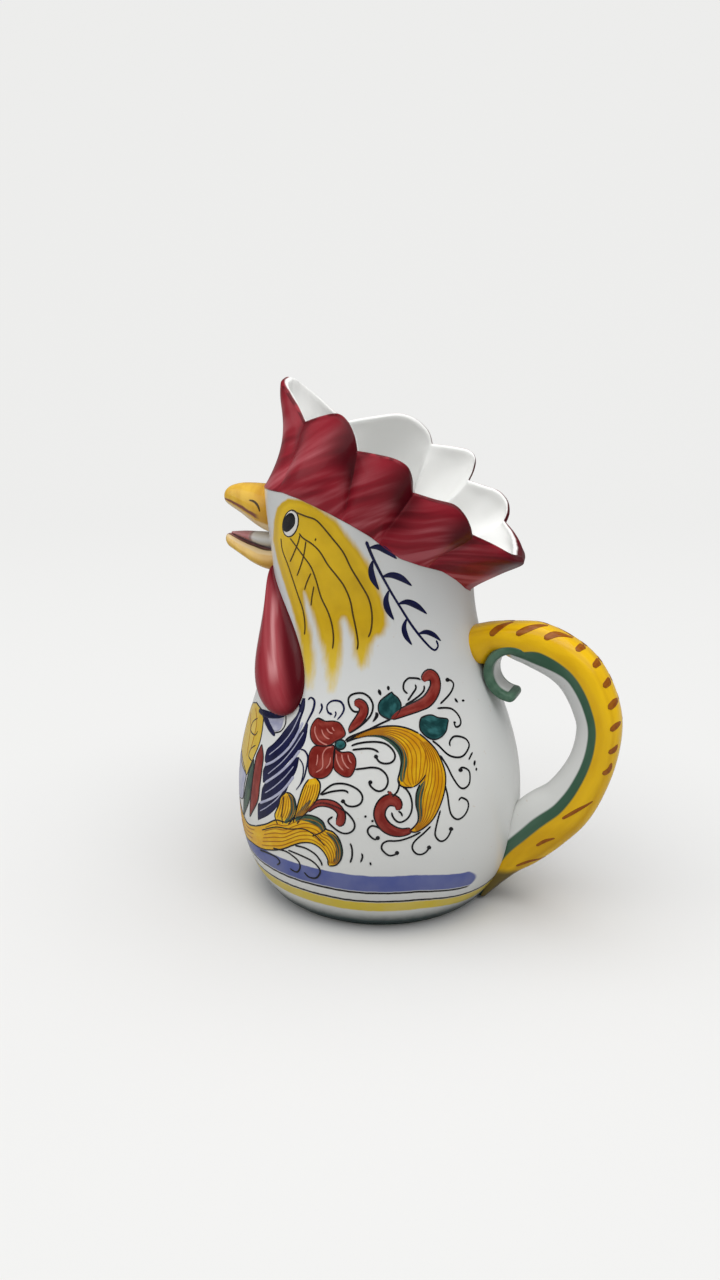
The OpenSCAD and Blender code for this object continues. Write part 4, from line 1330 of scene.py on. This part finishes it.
# Slashes across the handle's outer face, from its top down; each stretch has its own width in pixels
slashes = {
    "bend": (7.4, [[(490, 636), (500, 627), (514, 619)], [(516, 635), (530, 628), (550, 623)],
                   [(544, 639), (558, 634), (576, 634)], [(576, 651), (583, 646), (590, 641)],
                   [(593, 667), (599, 661), (606, 656)], [(603, 687), (609, 681), (616, 676)],
                   [(608, 709), (614, 703), (621, 698)]]),
    "side": (6.2, [[(610, 731), (616, 726), (624, 722)], [(608, 753), (615, 749), (623, 746)],
                   [(602, 774), (609, 770), (618, 767)]]),
    "root": (3.6, [[(562, 819), (576, 811), (593, 801)], [(536, 846), (545, 841), (555, 838)],
                   [(516, 866), (530, 861), (546, 856)]])}
# each one starts blunt and runs out thin over the handle's edge
slashEnds = {"blunt": 0.7, "thin": 0.4}
for wide, marks in slashes.values():
    for low, middle, high in marks:
        spine = [(*low, wide * slashEnds["blunt"]), (*middle, wide), (*high, wide * slashEnds["thin"])]
        brush(sheets["handleSlashes"], gripTree, spine, lift="fill")

# Nostril
strokes("brownLines", {"nostril": [(249, 500, 1.4), (254, 501.5, 2.2), (258, 506, 2.4), (260, 512, 1.4)]},
        tree=upperTree)
print("strokes painted")

for name, bm in sheets.items():
    whole = bm.verts[:] + bm.edges[:] + bm.faces[:]
    bmesh.ops.mirror(bm, geom=whole, matrix=Matrix(), merge_dist=0, axis="Y")
    finishPiece(bm, name, "handle_yellow" if name == "handleSlashes" else "glazed_body", inks[name])


# Stage: a pale sweep that rises behind the jug, in metres
sweep = {"wide": 5.0, "front": -1.6, "bend": 1.6, "radius": 1.4, "tall": 3.0, "below": 0.0002,
         "across": 8, "steps": 48}
floorColours = {"seen": ((0.73, 0.73, 0.725), (0.76, 0.76, 0.755)), "unseen": (0.46, 0.46, 0.455),
                "glow": (0.90, 0.90, 0.89, 1)}


def sweepPoint(u, w):
    # runs away from the camera, then up in a wide curve
    flat = sweep["bend"] - sweep["front"]
    arc = sweep["radius"] * math.pi / 2
    d = w * (flat + arc + sweep["tall"])
    if d < flat:
        out, z = sweep["front"] + d, 0
    elif d < flat + arc:
        a = (d - flat) / sweep["radius"]
        out, z = sweep["bend"] + sweep["radius"] * math.sin(a), sweep["radius"] * (1 - math.cos(a))
    else:
        out, z = sweep["bend"] + sweep["radius"], sweep["radius"] + d - flat - arc
    away = Vector((photo["ahead"].x, photo["ahead"].y, 0)).normalized()
    side = Vector((away.y, -away.x, 0))
    return away * out + side * (u - 0.5) * sweep["wide"] + Vector((0, 0, z - sweep["below"]))


def makeFloorPaint():
    paint = Paint("paleFloor", coat=0.0)
    paint.shader.inputs["Roughness"].default_value = 0.6
    # the camera sees the sweep lighter and more even than it is, with its shadows kept
    seen = paint.node("ShaderNodeLightPath", out="Is Camera Ray")
    tone = paint.blend(seen, floorColours["unseen"], paint.blend(paint.noise(3), *floorColours["seen"]))
    paint.tree.links.new(tone.socket, paint.shader.inputs["Base Color"])
    away = paint.node("ShaderNodeVectorMath", {"operation": "LENGTH"}, {0: paint.place()}, out="Value")
    share = seen * paint.step(away, 0.060, 0.30, 0.0, 0.90)
    glow = paint.node("ShaderNodeEmission", links={"Color": floorColours["glow"], "Strength": 1.0})
    surface = Value(paint, paint.shader.outputs[0])
    mixed = paint.node("ShaderNodeMixShader", links={0: share, 1: surface, 2: glow})
    paint.tree.links.new(mixed.socket, paint.tree.nodes["Material Output"].inputs["Surface"])
    return paint.material


sweepMesh = newMesh()
wrapGrid(sweepMesh, sweep["across"], sweep["steps"], sweepPoint)
makeObject(sweepMesh, "sweep", makeFloorPaint())

# Lamps: place and size in metres, and power in watts
lamps = {"keyLight": ((-1.0, -0.50, 0.75), 1.1, 3.8), "topLight": ((0.1, -0.12, 1.5), 1.8, 16),
         "fillLight": ((0.9, -0.60, 1.2), 1.2, 4.5)}
lampTarget = Vector((0, 0, 0.12))
for name, (place, size, power) in lamps.items():
    data = bpy.data.lights.new(name, "AREA")
    data.shape, data.size, data.energy = "DISK", size, power
    lamp = bpy.data.objects.new(name, data)
    bpy.context.collection.objects.link(lamp)
    lamp.location = place
    lamp.rotation_euler = (lampTarget - lamp.location).to_track_quat("-Z", "Y").to_euler()

world = bpy.data.worlds.new("studio")
world.use_nodes = True
room = world.node_tree
# mirror-like rays see a dimmer room, so that the glaze keeps its dark colours, and the camera a pale one
roomStrength = 0.50
rays = {"Is Glossy Ray": 0.10, "Is Camera Ray": 0.87}
shade = room.nodes["Background"]
shade.inputs["Color"].default_value = (1, 1, 1, 1)
shade.inputs["Strength"].default_value = roomStrength
path = room.nodes.new("ShaderNodeLightPath")
for ray, strength in rays.items():
    other, either = room.nodes.new("ShaderNodeBackground"), room.nodes.new("ShaderNodeMixShader")
    other.inputs["Color"].default_value = (1, 1, 1, 1)
    other.inputs["Strength"].default_value = strength
    room.links.new(path.outputs[ray], either.inputs[0])
    room.links.new(shade.outputs[0], either.inputs[1])
    room.links.new(other.outputs[0], either.inputs[2])
    shade = either
room.links.new(shade.outputs[0], room.nodes["World Output"].inputs["Surface"])
bpy.context.scene.world = world
bpy.context.scene.view_settings.view_transform = "Standard"

sensor = 36
cameraData = bpy.data.cameras.new("photoCamera")
cameraData.sensor_width = sensor
cameraData.lens = photo["focal"] / photo["tall"] * sensor
camera = bpy.data.objects.new("photoCamera", cameraData)
bpy.context.collection.objects.link(camera)
turned = Matrix((photo["right"], photo["up"], -photo["ahead"])).transposed().to_4x4()
camera.matrix_world = Matrix.Translation(photo["eye"] * mm) @ turned
bpy.context.scene.camera = camera
